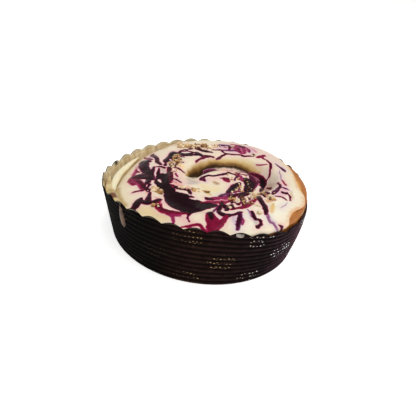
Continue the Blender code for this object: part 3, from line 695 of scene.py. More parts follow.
# %% Jam strokes
# Each tone is (how thick the jam is, 0 crimson to 1 purple), and each stroke (tone, ((x, y, width), ...)).
TONES = {
    "pool": (1.05, 0.3), "dark": (0.97, 0.4), "wine": (0.85, 0.15), "plum": (0.76, 0.6),
    "crimson": (0.62, 0.0), "violet": (0.7, 0.95), "magenta": (0.48, 0.3), "lilac": (0.46, 0.95),
    "mauve": (0.36, 0.9), "rose": (0.2, 0.1), "icing": (0.0, 0.5),
}
JAM = ( # left blossom
    ("rose", ((-46.6, 15, 1.2), (-45.4, 9, 2.2), (-45, 4, 2.2), (-45.8, -1, 1.4))),
    ("magenta", ((-45, 8, 0.8), (-44, 2.6, 2), (-44.6, -2, 1.6))),
    ("crimson", ((-45.2, -6, 2), (-44, -9.5, 4.5), (-42, -13, 4.5), (-41, -16, 2.5))),
    ("magenta", ((-42, -10.5, 4), (-39, -13.5, 5), (-37, -17, 4), (-35.5, -21, 2.5))),
    ("wine", ((-41, -10, 2.4), (-38, -13.4, 2.6), (-36, -17, 2.4), (-35, -20.5, 1.6))),
    ("dark", ((-43.5, 19.5, 2), (-42, 16, 5.8), (-41, 12, 6.6), (-39.7, 8, 6.6), (-38, 4, 6),
              (-36.5, 1, 6), (-35, -3, 5))),
    ("plum", ((-42.6, 13, 0.5), (-41.6, 9.6, 1), (-40.4, 6, 0.5))),
    ("dark", ((-43, -4.5, 5), (-39, -5, 8.5), (-35.5, -6, 8), (-33, -8, 5), (-31.5, -10, 3))),
    ("wine", ((-43.6, -4, 2.4), (-41.4, -6.6, 2.2), (-38.6, -8.4, 1.4))),
    ("plum", ((-41, -2.6, 0.8), (-38, -3.6, 1.3), (-35, -5.4, 0.8))),
    ("dark", ((-33.8, -10, 3), (-33.2, -14, 3.6), (-32.8, -18, 4), (-32, -22, 3.4), (-31, -24.6, 1.6))),
    ("wine", ((-44, 4, 0.9), (-42.6, 2.4, 1.2), (-41.5, 1.5, 0.8))),
    ("dark", ((-39, 33, 1.6), (-38.5, 29, 3), (-36.5, 25, 3), (-34, 20, 2.5), (-33, 16, 2.5),
              (-31.5, 12, 2.3), (-29.5, 9, 1.8))),
    ("wine", ((-44, 30, 0.8), (-43, 26, 1.7), (-40, 22, 1.8), (-37, 19, 1.6))),
    ("dark", ((-42.6, 20.4, 1.4), (-39.8, 18.4, 2.6), (-37.8, 16, 2.4))),
    ("mauve", ((-41, 27, 0.5), (-38.6, 22.6, 1.1), (-36.6, 19.6, 0.6))),
               # column between the blossom and the bun's middle
    ("dark", ((-24.6, 29.6, 3), (-23.6, 26, 6.6), (-23.6, 22, 7), (-24.8, 18.4, 6.4), (-27, 15.4, 4.4),
              (-25.6, 12.4, 4), (-26.6, 9, 2.6))),
    ("dark", ((-33.6, 6, 1.4), (-33, 0, 2), (-32.4, -6, 2))),
    ("icing", ((-36.8, 13.4, 0.6), (-36, 8.6, 1.9), (-34.8, 3.4, 0.8))),
    ("dark", ((-30, 4, 1.2), (-29.4, -1, 1.8), (-29.2, -6, 2))),
    ("icing", ((-31.8, 4.4, 0.5), (-31.2, 0, 1.1), (-30.6, -4.6, 0.5))),
    ("dark", ((-31.8, 5.8, 1.2), (-29, 6.5, 1.6), (-26.5, 5.5, 1.6))),
    ("pool", ((-26, 0.4, 2), (-25.8, -3, 6.5), (-25.6, -7, 8.6), (-25.5, -12, 8.6), (-24.4, -16, 7.6),
              (-22, -19.4, 6), (-20, -22.5, 6), (-18, -27.5, 8), (-15, -31.5, 11.5), (-11.5, -34.8, 14.5),
              (-8.6, -37.5, 12.5), (-7.6, -41.5, 8), (-7.4, -45, 3), (-7.4, -46.6, 1))),
    ("pool", ((-9, -36, 11), (-5, -37, 9), (-1, -36.2, 5.4), (3, -34.8, 3), (7, -33.2, 1.2))),
    ("wine", ((-24, 6, 2.4), (-23, 1, 3), (-22, -4, 3.2), (-21, -9, 3), (-20, -14, 2.4))),
    ("dark", ((-20.5, 18, 1.8), (-20.6, 14.6, 3), (-19, 12.6, 2.6), (-16, 12, 1.2))),
    ("dark", ((-22.6, 10.6, 2), (-22.4, 7.6, 2.2), (-23, 5, 1.4))),
    ("wine", ((-22.5, 5.5, 0.8), (-19, 3.5, 1.4), (-16, 1, 1.4), (-14, 0.2, 0.9))),
    ("magenta", ((-20, -1, 1), (-18.6, -4, 1.6), (-17, -7.4, 1.2))),
    ("dark", ((-20.4, -9.6, 0.9), (-17, -12, 1.4), (-14.4, -14.6, 0.9))),
    ("rose", ((-18.6, -8.6, 1.2), (-16, -10.6, 1.8))),
    ("rose", ((-19.4, -13.4, 1.2), (-17, -15.4, 1.8))),
    ("wine", ((-20, -17, 1.4), (-17.6, -18.6, 1.2), (-15.6, -19.6, 0.7))),
    ("dark", ((-17, -20, 2), (-14.6, -22, 1.4), (-11, -22.8, 1.6), (-9, -24, 2.4), (-8, -27, 2))),
    ("icing", ((-28.2, -8.6, 1), (-27.2, -10.4, 2.2), (-26.2, -12.2, 1))),
    ("icing", ((-28.2, 3.4, 1.4), (-26.8, 1.4, 2.8), (-25.2, -0.4, 1.6))),
    ("icing", ((-31.4, -15.4, 1.2), (-29.8, -16, 2.2), (-28.4, -16.4, 1.2))),
    ("icing", ((-30.4, -19, 2), (-31, -21, 1.4))),
    ("icing", ((-33.2, -17.6, 0.7), (-33, -19.2, 1.1))),
    ("icing", ((-24.6, 16.6, 1.6), (-23.6, 15.4, 2))),
    ("icing", ((-25.4, 11.8, 1.6), (-25, 9, 1.6))),
    ("icing", ((-15.6, -24, 1), (-12.6, -25.6, 1.6), (-9.8, -26, 1.2))),
    ("icing", ((-8, -31.6, 0.8), (-5, -31.8, 2), (-2.2, -30.4, 2.6), (0, -28.4, 1.6))),
    ("icing", ((-9.4, -27.4, 0.8), (-8, -28.6, 1.1))), # back
    ("dark", ((-19.4, 28.7, 3.6), (-15.5, 28.8, 6), (-12, 28.6, 4))),
    ("icing", ((-18.4, 28.7, 1.4), (-15.5, 28.8, 3), (-12.8, 28.6, 1.4))),
    ("dark", ((-20, 31, 1.4), (-17, 34, 2.2), (-15, 32, 1.6))),
    ("dark", ((-14, 34.4, 1.6), (-13, 35.4, 3), (-11.6, 37, 1.6))),
    ("dark", ((-20.4, 26, 3), (-17, 24.4, 4), (-12, 24.6, 4), (-8, 25.2, 3.6))),
    ("dark", ((-18.8, 21.4, 1.4), (-17, 21, 1.8), (-16, 20.4, 1))),
    ("dark", ((-9.4, 35.6, 1.6), (-6, 34, 3.6), (-2, 32, 4.6), (1.6, 31, 2.4))),
    ("dark", ((-7.4, 38.6, 0.8), (-6.4, 35.6, 1.8))),
    ("dark", ((-8.8, 29, 2.4), (-7, 26.4, 3.4), (-4.6, 23, 2.2))),
    ("dark", ((-5, 24, 1.4), (-1, 24.4, 1.5), (3, 25, 1))),
    ("dark", ((2, 35.5, 1.2), (6, 36.2, 2), (9, 36.4, 1.8), (9.2, 34, 1.6), (10.6, 32, 1.4),
              (13, 31.5, 1))),
    ("lilac", ((9.6, 35.8, 2), (14, 36.4, 3.4), (20, 36.4, 3.4))),
    ("icing", ((12, 33.2, 0.8), (16, 33.4, 1.5), (20, 33, 0.8))),
    ("violet", ((4.5, 46, 1.6), (8, 46, 3.6), (13.5, 46, 2.8))),
    ("dark", ((10.5, 41.6, 1.4), (11.1, 41.4, 1.4))),
    ("magenta", ((15.6, 49, 1.4), (19, 47.4, 2.4), (22, 46, 2))),
    ("lilac", ((4, 42.6, 1), (7.4, 43, 1.8), (10, 44, 1.2))),
    ("magenta", ((14.6, 41, 1), (18, 40.4, 2.6), (21, 41, 2))),
    ("plum", ((26.6, 42.4, 0.8), (28, 38.6, 1.6), (27.4, 34.6, 1))),
    ("rose", ((28, 45, 1.4), (31, 41, 2), (33, 36.6, 1.6))),
    ("wine", ((14, 46, 1.6), (14.2, 42, 2), (13.6, 37, 1.2))),
    ("magenta", ((18.6, 47.6, 3), (21, 44, 7.4), (21.6, 39, 8.6), (23, 34, 5))),
    ("magenta", ((24.4, 46, 1.4), (26.4, 41.4, 3), (27, 36.4, 2))),
    ("plum", ((21.4, 47.4, 1.4), (23, 45.4, 3), (24.6, 43.4, 1.4))),
    ("plum", ((20.6, 41, 0.8), (20.4, 38, 1.2), (21.4, 34.6, 0.8))),
    ("rose", ((22.2, 43, 0.5), (22.2, 39, 1), (23, 34, 0.7))),
    ("rose", ((25.4, 43, 0.4), (26.2, 39, 0.9), (25.6, 34, 0.5))),
    ("dark", ((5.5, 24.5, 1), (8, 27, 1.5), (10.5, 30, 1.5), (13, 31, 1.2), (17, 31, 1), (21, 31, 1),
              (24, 29.5, 1.3), (30, 30, 1))),
    ("wine", ((-8, 15, 0.8), (-6.5, 18, 1.3), (-3, 22, 1.4), (1, 24.5, 1.2), (3.5, 25, 0.8))),
    ("crimson", ((32.5, 29, 1.2), (35, 30.6, 3.4), (38, 33.5, 2.6))),
    ("crimson", ((36.4, 29.4, 2.4), (37.8, 27, 1.4))),
    ("wine", ((32, 22.5, 0.5), (36, 21, 0.7), (39, 20.5, 0.4))),
    ("crimson", ((-16, 45.4, 1), (-16, 47, 1.8), (-15.6, 48.6, 1))), # the coil
    ("plum", ((1.4, 14.4, 2.4), (-1, 11, 5.2), (-2.8, 6, 4.2))),
    ("magenta", ((3, 15.4, 1.6), (8, 16.6, 2.6), (13, 17.2, 2))),
    ("plum", ((-2.8, 4.6, 2.6), (0.2, 8, 3.6), (3.6, 10.8, 3), (7, 11.6, 1.4))),
    ("crimson", ((11, 10.4, 1), (12.6, 9.8, 1.8), (14, 10, 1))),
    ("rose", ((1.4, 11, 1), (2.2, 12.4, 1.4))),
    ("plum", ((-1.6, 15, 2), (3, 17.4, 3), (9, 18.6, 2.4), (15, 19.6, 2), (20, 19.6, 1.4))),
    ("rose", ((6, 14.6, 2), (12, 15.2, 2.8), (17, 15.6, 2.8))),
    ("plum", ((16.2, 14.5, 1.4), (17.8, 14.6, 1.8))),
    ("plum", ((21.6, 17.2, 3), (24.5, 15.6, 8), (28.5, 11.6, 8.6), (32, 7.6, 6), (32.6, 3, 4),
              (32.4, -2, 3.4), (31.6, -6, 3))),
    ("plum", ((20, 9, 2), (24, 9.4, 4), (28, 6, 5), (29, 0, 6), (28.6, -6, 5), (27, -12, 3))),
    ("magenta", ((18, 17.4, 1.4), (20, 16, 3.4), (22, 14.4, 2.4))),
    ("dark", ((24, 15, 1.6), (28, 11.6, 4.6), (31, 8, 4.4), (32.6, 3, 3), (32.4, -3, 2.2))),
    ("wine", ((1, 8, 0.8), (3, 11, 1.3), (7, 12.7, 1.4), (12, 12.5, 1.3), (16, 12.3, 1.2), (20, 11.5, 1.2),
              (24, 12, 1.2), (26.5, 8, 1.4), (26, 5, 1.1), (22, 5, 1), (18, 7, 0.8))),
    ("magenta", ((17.6, 4.6, 2), (19.6, 2.4, 4), (22, -1.6, 4.4), (24, -5, 3))),
    ("dark", ((23.8, 0.4, 2.4), (25, -4, 5.4), (25.6, -9, 6), (24, -14, 4.6))),
    ("dark", ((19.6, -6.6, 2), (17.4, -11, 5.6), (15.8, -15.4, 6), (13.4, -19.6, 4.4))),
    ("pool", ((18.6, -9.6, 1.4), (16.4, -13, 3.4), (14.6, -17, 3.6), (12.4, -20.6, 2))),
    ("dark", ((-3.5, -6, 1.4), (-3, -3, 2), (0, -0.5, 2), (4, -0.5, 2), (8, 1, 2.2), (12, 4, 2.2),
              (13.5, 6, 1.8), (16, 4.5, 1.8), (20, 6, 1.4))),
    ("plum", ((-2.8, -2.6, 2.4), (-2, -5, 3), (-1, -7, 1.8))),
    ("crimson", ((10.4, -2.8, 2.4), (11.8, -4.6, 3.6), (13, -6.4, 2.2))),
    ("wine", ((8.6, -3, 1), (11.4, -2.6, 1.6), (15, -3.4, 1.2))),
    ("dark", ((19.2, 3, 0.7), (17.6, -1, 1.1), (16.4, -4.6, 1))),
    ("rose", ((22, 21.5, 0.5), (27, 18.6, 0.8), (32, 15, 0.5))),
    ("rose", ((24, 12, 0.5), (28, 8, 0.9), (30, 2, 0.9), (30, -3, 0.5))),
    ("rose", ((34, 8, 0.4), (33, 3, 0.8), (32, -4, 0.8), (30, -8.5, 0.5))),
    ("rose", ((13, -12, 0.6), (14.6, -9.6, 1), (16, -7, 0.6))),
    ("rose", ((15, -20, 0.6), (17, -17.4, 1), (19, -14, 0.6))), # right of the coil
    ("wine", ((28, 18.6, 0.8), (31.4, 16.8, 1.8), (34, 14.4, 2.2), (36, 11, 2.6), (36.8, 7.4, 3),
              (36, 3.6, 2.6))),
    ("pool", ((34.6, 12.6, 1), (35.8, 8.6, 2.6), (35.6, 4, 2.8), (34.8, 0, 2.4), (34.2, -6, 2.2),
              (32.5, -12, 2.4), (31.4, -14, 1.6))),
    ("dark", ((38, 2, 0.7), (39.5, -2, 1.1), (39, -8, 0.7))),
    ("wine", ((40.5, 22, 0.6), (40.5, 16, 1), (39.5, 10, 1), (38, 8, 0.7))),
    ("wine", ((38, 28, 0.8), (40, 24, 1.4), (41, 20, 1.4), (41, 15, 0.8))),
    ("violet", ((44, 21, 0.7), (46, 17, 1.6), (48.5, 13, 2.5), (49, 10.6, 1))),
    ("mauve", ((45.5, 12, 0.4), (45.3, 5, 0.6), (45, -2, 0.6))),
    ("crimson", ((45.5, -2, 0.8), (46, -7, 1.6), (46.5, -9, 1.2))),
    ("dark", ((42.5, -4, 0.8), (43, -10, 1.6), (41.6, -13.4, 1.8), (41, -16, 1.4))),
    ("plum", ((44, -12, 1.2), (46, -13, 1.5), (47.5, -14, 0.8))),
    ("violet", ((41, -13.4, 1.6), (40, -16, 3), (38.6, -18.4, 3), (37.2, -20.6, 1.6))),
    ("dark", ((43.4, -17.8, 2), (45.4, -18.2, 2))),
    ("dark", ((39, -22, 0.7), (42, -22.5, 1.1), (44.5, -25, 0.7))),
    ("dark", ((46, -17, 0.8), (47, -20.4, 1.1), (46.5, -25, 0.7))),
    ("mauve", ((45, -27, 0.4), (42.4, -30.6, 0.6), (40, -34, 0.4))), # web in front of the coil
    ("magenta", ((1.4, -30.8, 2.6), (5, -29.6, 4.4), (9, -28, 5), (12.5, -26, 5), (15, -23.5, 4))),
    ("violet", ((8, -25.4, 2), (11, -23, 4.5), (14.5, -21.4, 5.5), (18.5, -19.6, 4.5))),
    ("dark", ((0.8, -29.4, 1.8), (3, -30.6, 3), (6, -31.6, 1.6))),
    ("dark", ((13, -23.6, 1.6), (16, -21.6, 3.4), (20, -18.6, 4.4), (23.4, -16, 4.4), (26, -13.6, 3))),
    ("crimson", ((-2, -34.5, 0.8), (3, -32.6, 1.6), (9, -30.4, 1.7), (14, -28, 1.3))),
    ("rose", ((-1, -33, 0.6), (4, -31.4, 0.9), (10, -28.8, 0.9), (14, -26.6, 0.6))),
    ("mauve", ((10, -25.6, 0.8), (11.4, -24, 1.2), (13, -22.4, 0.7))),
    ("icing", ((14, -21, 0.5), (18, -18.6, 0.9), (22, -15.8, 0.5))), # front right
    ("wine", ((17.8, -20.6, 2.6), (17.8, -27, 4.4), (17.8, -33.4, 2.4))),
    ("icing", ((17.8, -22.4, 1), (17.8, -27, 2.8), (17.8, -32, 1.2))),
    ("dark", ((20.6, -20, 2), (20.8, -25, 2.4), (20.8, -30, 2.4), (20.6, -36, 1.6))),
    ("dark", ((14.8, -22.6, 1.4), (14.6, -26, 1.4), (15, -30, 1.2))),
    ("wine", ((24.2, -20, 1), (24.4, -24, 1.6), (24.2, -28, 1))),
    ("crimson", ((14, -38.5, 1.4), (18, -37, 2.4), (22, -35, 2.8), (25, -31, 2.8), (27, -27, 2.4),
                 (28, -22, 1.6))),
    ("dark", ((29, -21.6, 2), (29.6, -25, 3), (30.4, -29, 3), (31.4, -33, 2.8), (31.8, -37, 2.7),
              (31.8, -41, 1.6))),
    ("dark", ((31.4, -15.4, 1.2), (32, -19, 1.8), (33, -23, 1.4))),
    ("dark", ((34, -15, 1.2), (35, -18.6, 1.8), (35, -21, 1.2))),
    ("dark", ((9.5, -31, 1.8), (8, -37, 2.4), (8, -42, 2.4), (10.5, -44.5, 2.8), (14, -44, 2),
              (19, -41, 1.5))),
    ("dark", ((11, -32, 2.6), (12, -35, 3.4), (12, -38, 3), (11.5, -40, 1.5))),
    ("dark", ((14, -32, 1.6), (14.4, -35, 1.8), (15.5, -38, 1.4))),
    ("violet", ((7.5, -34, 0.8), (5.5, -38, 1.3), (5, -42, 1.2))),
    ("violet", ((18.5, -41, 1.5), (18.3, -46, 2.6), (17.5, -50, 2.4), (17, -54.5, 1.8))),
    ("dark", ((18.2, -43, 0.8), (17.8, -47, 1.4), (17.2, -52.6, 1))),
    ("magenta", ((19.8, -46, 0.8), (20, -48.6, 1.3), (19.4, -51, 0.7))),
    ("pool", ((24.5, -39.5, 1.2), (25, -43, 2.2), (26, -45.5, 2), (28, -46.2, 1.6), (28.4, -49, 1.3),
              (26.6, -51.5, 2))),
    ("mauve", ((22.5, -38, 1.2), (23.4, -41, 1.1), (24, -44, 0.9))),
    ("mauve", ((32.5, -41.5, 1.6), (32.6, -44, 2), (33.4, -47, 1.5))),
    ("mauve", ((34.4, -46, 1.2), (35.6, -48.2, 2), (36.8, -49.4, 1.2))),
    ("dark", ((37.6, -47.2, 0.7), (39.4, -48, 1.5), (41.4, -48.6, 0.9))), # front
    ("crimson", ((3.5, -42, 2.6), (3.5, -46, 5), (5, -50, 6.5), (5.5, -54, 6.5), (3.5, -57.5, 2))),
    ("crimson", ((12, -45, 1.5), (10, -49, 3), (8, -53, 3.5), (5, -57, 2))),
    ("dark", ((3.5, -41.5, 1.8), (3.6, -45, 3), (4.6, -48.4, 2))),
    ("crimson", ((-10, -55.5, 0.8), (-6, -54.5, 1.6), (-3, -53, 1.8), (-1.5, -53, 2), (0, -54.5, 2),
                 (2, -57.5, 1.6))),
    ("crimson", ((-24, -34, 2.6), (-23.5, -38, 4), (-22, -42, 3.6), (-18, -44.5, 3.6), (-12, -45.5, 3),
                 (-8, -45.5, 1.2))),
    ("wine", ((-23.6, -38.6, 1.2), (-21.4, -42, 1.6), (-17, -44, 1.6), (-12, -45, 1.2))),
    ("magenta", ((-18, -46.6, 1), (-15, -47.4, 2.2), (-11, -47.6, 1.2))),
    ("magenta", ((-15, -48, 1.8), (-14, -51, 1.8), (-13.5, -54, 1))),
    ("rose", ((-22.5, -34, 0.6), (-22.3, -36, 0.9), (-22.5, -38, 0.5))),
    ("dark", ((-7, -46.5, 0.5), (-7.2, -49, 0.8), (-6.2, -51.5, 0.5))), # front left
    ("wine", ((-40, -25.2, 0.8), (-38, -24.4, 1.8), (-35, -23.5, 1.8), (-33, -22, 1.8))),
    ("dark", ((-30, -26, 1.5), (-29.6, -30, 2.2), (-29.3, -34, 2.8), (-29, -38, 3))),
    ("dark", ((-33.5, -33, 2.2), (-34, -36, 4.5), (-34.5, -40, 4), (-36, -44.5, 2.6))),
    ("dark", ((-32.6, -36, 3.6), (-30, -37.2, 4), (-27.4, -36.8, 3.4), (-25, -35, 3.2), (-23.4, -33, 2.4))),
    ("rose", ((-26.8, -30.4, 1.4), (-25, -32, 2))),
    ("rose", ((-49, 10, 0.3), (-48, 4, 0.6), (-46.4, -1, 0.5), (-45, -4, 0.5))),
)
print("strokes:", len(JAM))

# %% [markdown]
# Under the jam the icing isn't one colour either. It takes a blush where jam bled into it, it turns
# golden where it lies thin on the crust, and the foot of the groove is bare browned dough, darkened
# further by painted shadow. Some tints are painted light and shade: the icing's left and front left
# are painted darker and its front right lighter, as the light falls, and a fold of the coil, the
# coil's side, the groove's right end and a thin line at the icing's left edge carry painted shade.

# %% Soft tints of the icing
# Each tint is (colour, strength, softness in mm, ((x, y, width), ...)).
TINTS_AND_PAINTED_LIGHT = (
    # The first three tints are painted light: painted shade at the left and front left of the icing, and a
    # lighter front right where the light falls.
    ("#E4D6B8", 0.8, 9, ((-50, 10, 8), (-50, -10, 9), (-46, -26, 8), (-38, -40, 8))),
    ("#DBC598", 0.9, 6, ((-33, -44, 6), (-26, -45, 8), (-18, -49, 5))),
    ("#EDE7D4", 0.9, 9, ((20, -50, 12), (36, -36, 14), (46, -18, 12))),
    ("#E6C6BE", 0.75, 8, ((-36, -26, 6), (-34, -10, 6), (-30, 6, 6), (-24, 30, 8))),
    ("#DDC2BC", 0.6, 8, ((10, 50, 9), (28, 46, 10), (42, 34, 9), (48, 18, 7))),
    ("#E3C4B8", 0.7, 6, ((-24, 4, 8), (-16, -8, 8), (-12, -14, 8))),
    ("#E0B3AE", 0.7, 5, ((-20, -36, 4), (-14, -40, 4), (-10, -49, 5), (-3, -54, 4))),
    ("#E8BFB9", 0.7, 5, ((-4, -8, 4), (4, -4, 5), (12, -3, 5))),
    ("#DCB0B8", 0.8, 4, ((42, -20, 6), (45, -14, 5), (44, -6, 3))),
    ("#D9C2C6", 0.8, 4, ((14, -44, 4), (15.4, -49, 3))),
    ("#B5A2A8", 0.8, 2.5, ((32.4, -41, 1.6), (33.2, -44, 2), (35, -46.4, 2.2))),
    ("#B9AAB4", 0.8, 2.5, ((23.4, -42, 1.2), (24.6, -46, 1.6), (27, -47, 2))),
    ("#B9AAB8", 0.8, 2.5, ((15.4, -43, 1.4), (15.2, -46, 2), (15.6, -49.5, 1.4), (16.6, -51.6, 0.8))),
    ("#E2A594", 0.9, 3, ((-18.4, -14, 2.6), (-15.6, -17.6, 4.6), (-13, -20.4, 2.6))),
    ("#D9A694", 0.8, 3, ((-10, -20, 3), (-7.6, -22.6, 2.4))),
    ("#EFCB9B", 0.9, 3, ((-19.6, 12.4, 2), (-17.6, 8, 4), (-15.4, 4.4, 3))),
    ("#E6D3A8", 0.8, 4, ((-2, -13, 4), (2, -18, 6), (6, -16, 6))),
    ("#B3A6A2", 0.7, 3.5, ((-11, -4.6, 2), (-9, -8, 4.4), (-7, -11, 5), (-9, -14.6, 3.4))),
    # painted shade in a fold of the coil
    ("#A88866", 0.75, 3.5, ((0.6, 5.4, 2.4), (4, 7.6, 4.4), (8.4, 9.4, 3))),
    ("#E9BFA4", 0.8, 4, ((10, 8, 4), (17, 9.4, 4.6), (24, 8, 3))),
    ("#9C7050", 0.75, 2.5, ((4.6, -7.6, 1.6), (6.4, -9.6, 2.6))),
    ("#D9C2C6", 0.85, 4, ((7.4, -41, 3), (8.4, -46, 4), (8, -50, 2.6))),
    ("#A9A49C", 0.8, 2.5, ((25.8, -48, 1.6), (26.6, -50, 1.6))),
    ("#D3A0B6", 0.8, 8, ((8, 43, 9), (18, 40, 12), (28, 38, 10))),
    ("#C4A07E", 0.6, 6, ((-33, 43, 5), (-28, 48, 6), (-22, 51, 5))),
    ("#B9A08C", 0.8, 3, ((-28.4, 4.2, 2.6), (-27, 2.4, 3), (-26, 0.6, 2))),
    ("#C39A4E", 0.85, 2.5, ((0, -21, 1.4), (1, -23.2, 1.8), (2.8, -24.6, 1.4))),
    ("#D6AE5E", 0.85, 2.5, ((36.2, -31, 1.6), (35.6, -34.6, 2.4), (34.8, -38.4, 1.6))),
    ("#CDB776", 0.7, 2, ((29.6, -40, 1), (27.6, -41, 1.4))),
    ("#C98A5E", 0.8, 3, ((34.6, -22, 3), (36.2, -25.6, 3.6), (34, -28, 2.4))),
    ("#B98367", 0.8, 2.5, ((-31.6, -23, 2), (-31, -26.4, 2))),
    ("#5E2E16", 0.9, 1.6, ((-17.4, -19.4, 1.6), (-15.4, -21.8, 1.6), (-10.4, -23.2, 1.2))),
    ("#B9A26C", 0.8, 2.5, ((48.6, -15, 0.6), (48.4, -20, 1.2), (46.4, -25, 1))),
    # glaze along the icing's left edge, with painted shade over it
    ("#A98C52", 0.85, 2.5, ((-49.6, -17, 1), (-47.4, -25, 1.6), (-43.4, -33.4, 1.8), (-40, -38.6, 1.4))),
    ("#DDC79A", 0.9, 3, ((2, 21, 3), (12, 25.6, 4), (26, 24.6, 4), (34, 18, 4))),
)
BARE_DOUGH_AND_PAINTED_SHADOW = (
    # the groove's foot: bare browned dough, darkened further by painted shadow towards its dark core
    ("#C0984F", 0.75, 2.5, ((-12.4, -1, 1.4), (-10.6, 6, 2), (-7, 12.6, 2.4), (-1.6, 18.6, 2.4),
                            (4, 22.4, 2.2), (12, 25, 2), (20, 24.8, 2), (28, 21.6, 2), (33.6, 16, 2))),
    ("#7A5424", 0.95, 1.6, ((-11.6, -1, 1.6), (-9.8, 6, 2), (-6.4, 11.6, 2), (-1.4, 17.2, 1.8),
                            (4, 21.4, 1.6), (12, 24, 1.4), (20, 23.8, 1.4), (27, 20.6, 1.8), (32, 16, 2))),
    ("#35200A", 1.0, 1.2, ((-10.4, -1, 1.6), (-8.8, 5, 2.4), (-6.4, 9, 2.6), (-3, 13.6, 2.6),
                           (-1, 16.6, 2), (4, 20.2, 1.6), (12, 22.8, 1.4), (20, 22.6, 1.4),
                           (26, 19.8, 1.8), (30, 16, 2.6))),
    ("#E3B9A6", 1.0, 1.2, ((2, 17, 0.6), (6, 18.6, 2), (12, 20, 2.6), (19, 19.8, 2.4), (24, 17.6, 1.4))),
    # painted shade on the coil's shadowed side
    ("#8A7A70", 0.9, 2.0, ((-8.4, -2, 1.6), (-6.4, 3, 2.4), (-5, 8, 2))),
    # painted shadow at the groove's right end, over dark jam
    ("#2A0F08", 1.0, 1.6, ((27, 19, 1), (31, 16.4, 3), (34, 13, 3.6), (35.6, 9, 3), (35.4, 3, 2))),
    ("#7A6468", 0.9, 2.5, ((36.4, 0, 1.6), (36.2, -6, 2), (35.4, -14, 1.6))),
    ("#C49A80", 0.8, 3.0, ((38.4, 3, 1.4), (38, -6, 2), (36.8, -15, 2))),
)
print("tints:", len(TINTS_AND_PAINTED_LIGHT) + len(BARE_DOUGH_AND_PAINTED_SHADOW))

# %% [markdown]
# The icing's skin is spun as a disc, close-set enough that a stroke 1 mm wide still shows. Each point
# asks how far inside each stroke it lies. A stroke's few places are first joined by a smooth curve
# that runs through all of them.

# %% Stroke helpers
STROKE_STEPS = 6


def line_through(points):
    """A smooth line, with its width, through the points of a stroke."""
    points = [np.array(point, float) for point in points]
    line = []
    for i in range(len(points) - 1):
        before, here, after, beyond = (points[min(max(k, 0), len(points) - 1)] for k in range(i - 1, i + 3))
        for f in np.arange(STROKE_STEPS) / STROKE_STEPS:
            line.append(here * (2 * f ** 3 - 3 * f * f + 1) + (after - before) / 2 * (f ** 3 - 2 * f * f + f)
                        + after * (3 * f * f - 2 * f ** 3) + (beyond - here) / 2 * (f ** 3 - f * f))
    return np.array(line + [points[-1]])


def inside(stroke, x, y, reach):
    """How far inside the stroke each place lies, in mm: negative outside, down to -reach."""
    line = line_through(stroke)
    margin = reach + line[:, 2].max()
    near = np.flatnonzero((x > line[:, 0].min() - margin) & (x < line[:, 0].max() + margin)
                          & (y > line[:, 1].min() - margin) & (y < line[:, 1].max() + margin))
    best = np.full(len(near), -reach, float)
    for (ax, ay, aw), (bx, by, bw) in zip(line, line[1:]):
        dx, dy = bx - ax, by - ay
        t = np.clip(((x[near] - ax) * dx + (y[near] - ay) * dy) / max(dx * dx + dy * dy, 1e-9), 0, 1)
        depth = (aw + (bw - aw) * t) / 2 - np.hypot(x[near] - ax - dx * t, y[near] - ay - dy * t)
        best = np.maximum(best, depth)
    found = np.full(len(x), -reach, float)
    found[near] = best
    return found


print("a stroke has", STROKE_STEPS, "steps between two of its points")

# %% [markdown]
# ## The icing
#
# The disc follows the dough's top at the icing's thickness. Its edge draws back from the bare crust
# at the right in a few lobes, hangs over the dough's shoulder at the left, and at the front right it
# ran out to the paper, where it sags.

# %% Icing shape
ICING = 1.8 * MM
THIN_EDGE = 0.7                # share of the thickness lost at the edge
EDGE_THINNING = 6
ICING_REACH = 0.985            # share of the dough's radius that it covers
ICING_WAVES = (0.006, 9)       # height and count of the waves along its edge
# Each bend of the edge is (angle, width in degrees, share of the dough's radius).
EDGE_BENDS = (
    (0, 34, -0.09), (-36, 13, -0.08), (-85, 40, 0.014), (4, 30, -0.035), (-17, 8, 0.025),
    (-28, 12, 0.02), (-49, 7, 0.035), (27, 14, -0.018),
)
APRON = 3.5 * MM               # how far it hangs over the dough's shoulder at the left
APRON_SPAN = (194, 62)         # its middle and its width, in degrees
HANG = 1.2 * MM
SPREAD = 1.2 * MM              # how far it runs out to the paper at the front right,
SPREAD_ANGLES = ((-88, -76), (-47, -43))
DRAPE = 1.3 * MM               # and how far it sags there
PAPER_CLEAR = 0.15 * MM        # left between the icing and the paper
BACK_SWELL = (48, 42, 0.7 * MM)     # angle, width and height of a swell at the back
ICING_ROWS = 150
ICING_COLUMNS = 480
UNDER_ROWS = 14

section = [(i / ICING_ROWS, 1.0) for i in range(ICING_ROWS + 1)] + [(1.004, 0.6), (1.003, 0.3)]
section += [(i / UNDER_ROWS, 0.0) for i in range(UNDER_ROWS, -1, -1)]
icing = spun("icing_and_jam", section, ICING_COLUMNS)
x, y, layer = points_of(icing)
even = np.hypot(x, y)
angle = np.arctan2(y, x)
edge = ICING_REACH + ICING_WAVES[0] * np.sin(ICING_WAVES[1] * angle)
edge += sum(bump(angle, *bend) for bend in EDGE_BENDS)
flat_x, flat_y = on_top(edge * (even + 0.06 * np.sin(2 * np.pi * even)), angle)     # rows closer at the edge
base_z = dough_height(flat_x, flat_y)
hang = bump(angle, *APRON_SPAN) ** 0.6 * smooth(0.9, 1.0, even)
base_z -= HANG * hang ** 2
spread = smooth(0.92, 1.0, even) * smooth(*SPREAD_ANGLES[0], np.degrees(angle))
spread *= 1 - smooth(*SPREAD_ANGLES[1], np.degrees(angle))
base_z -= DRAPE * spread * smooth(0.975, 1.0, even)
base_z += bump(angle, *BACK_SWELL) * smooth(0.86, 1.0, even)
outward = APRON * hang + SPREAD * spread
flat_x, flat_y = flat_x + outward * np.cos(angle), flat_y + outward * np.sin(angle)
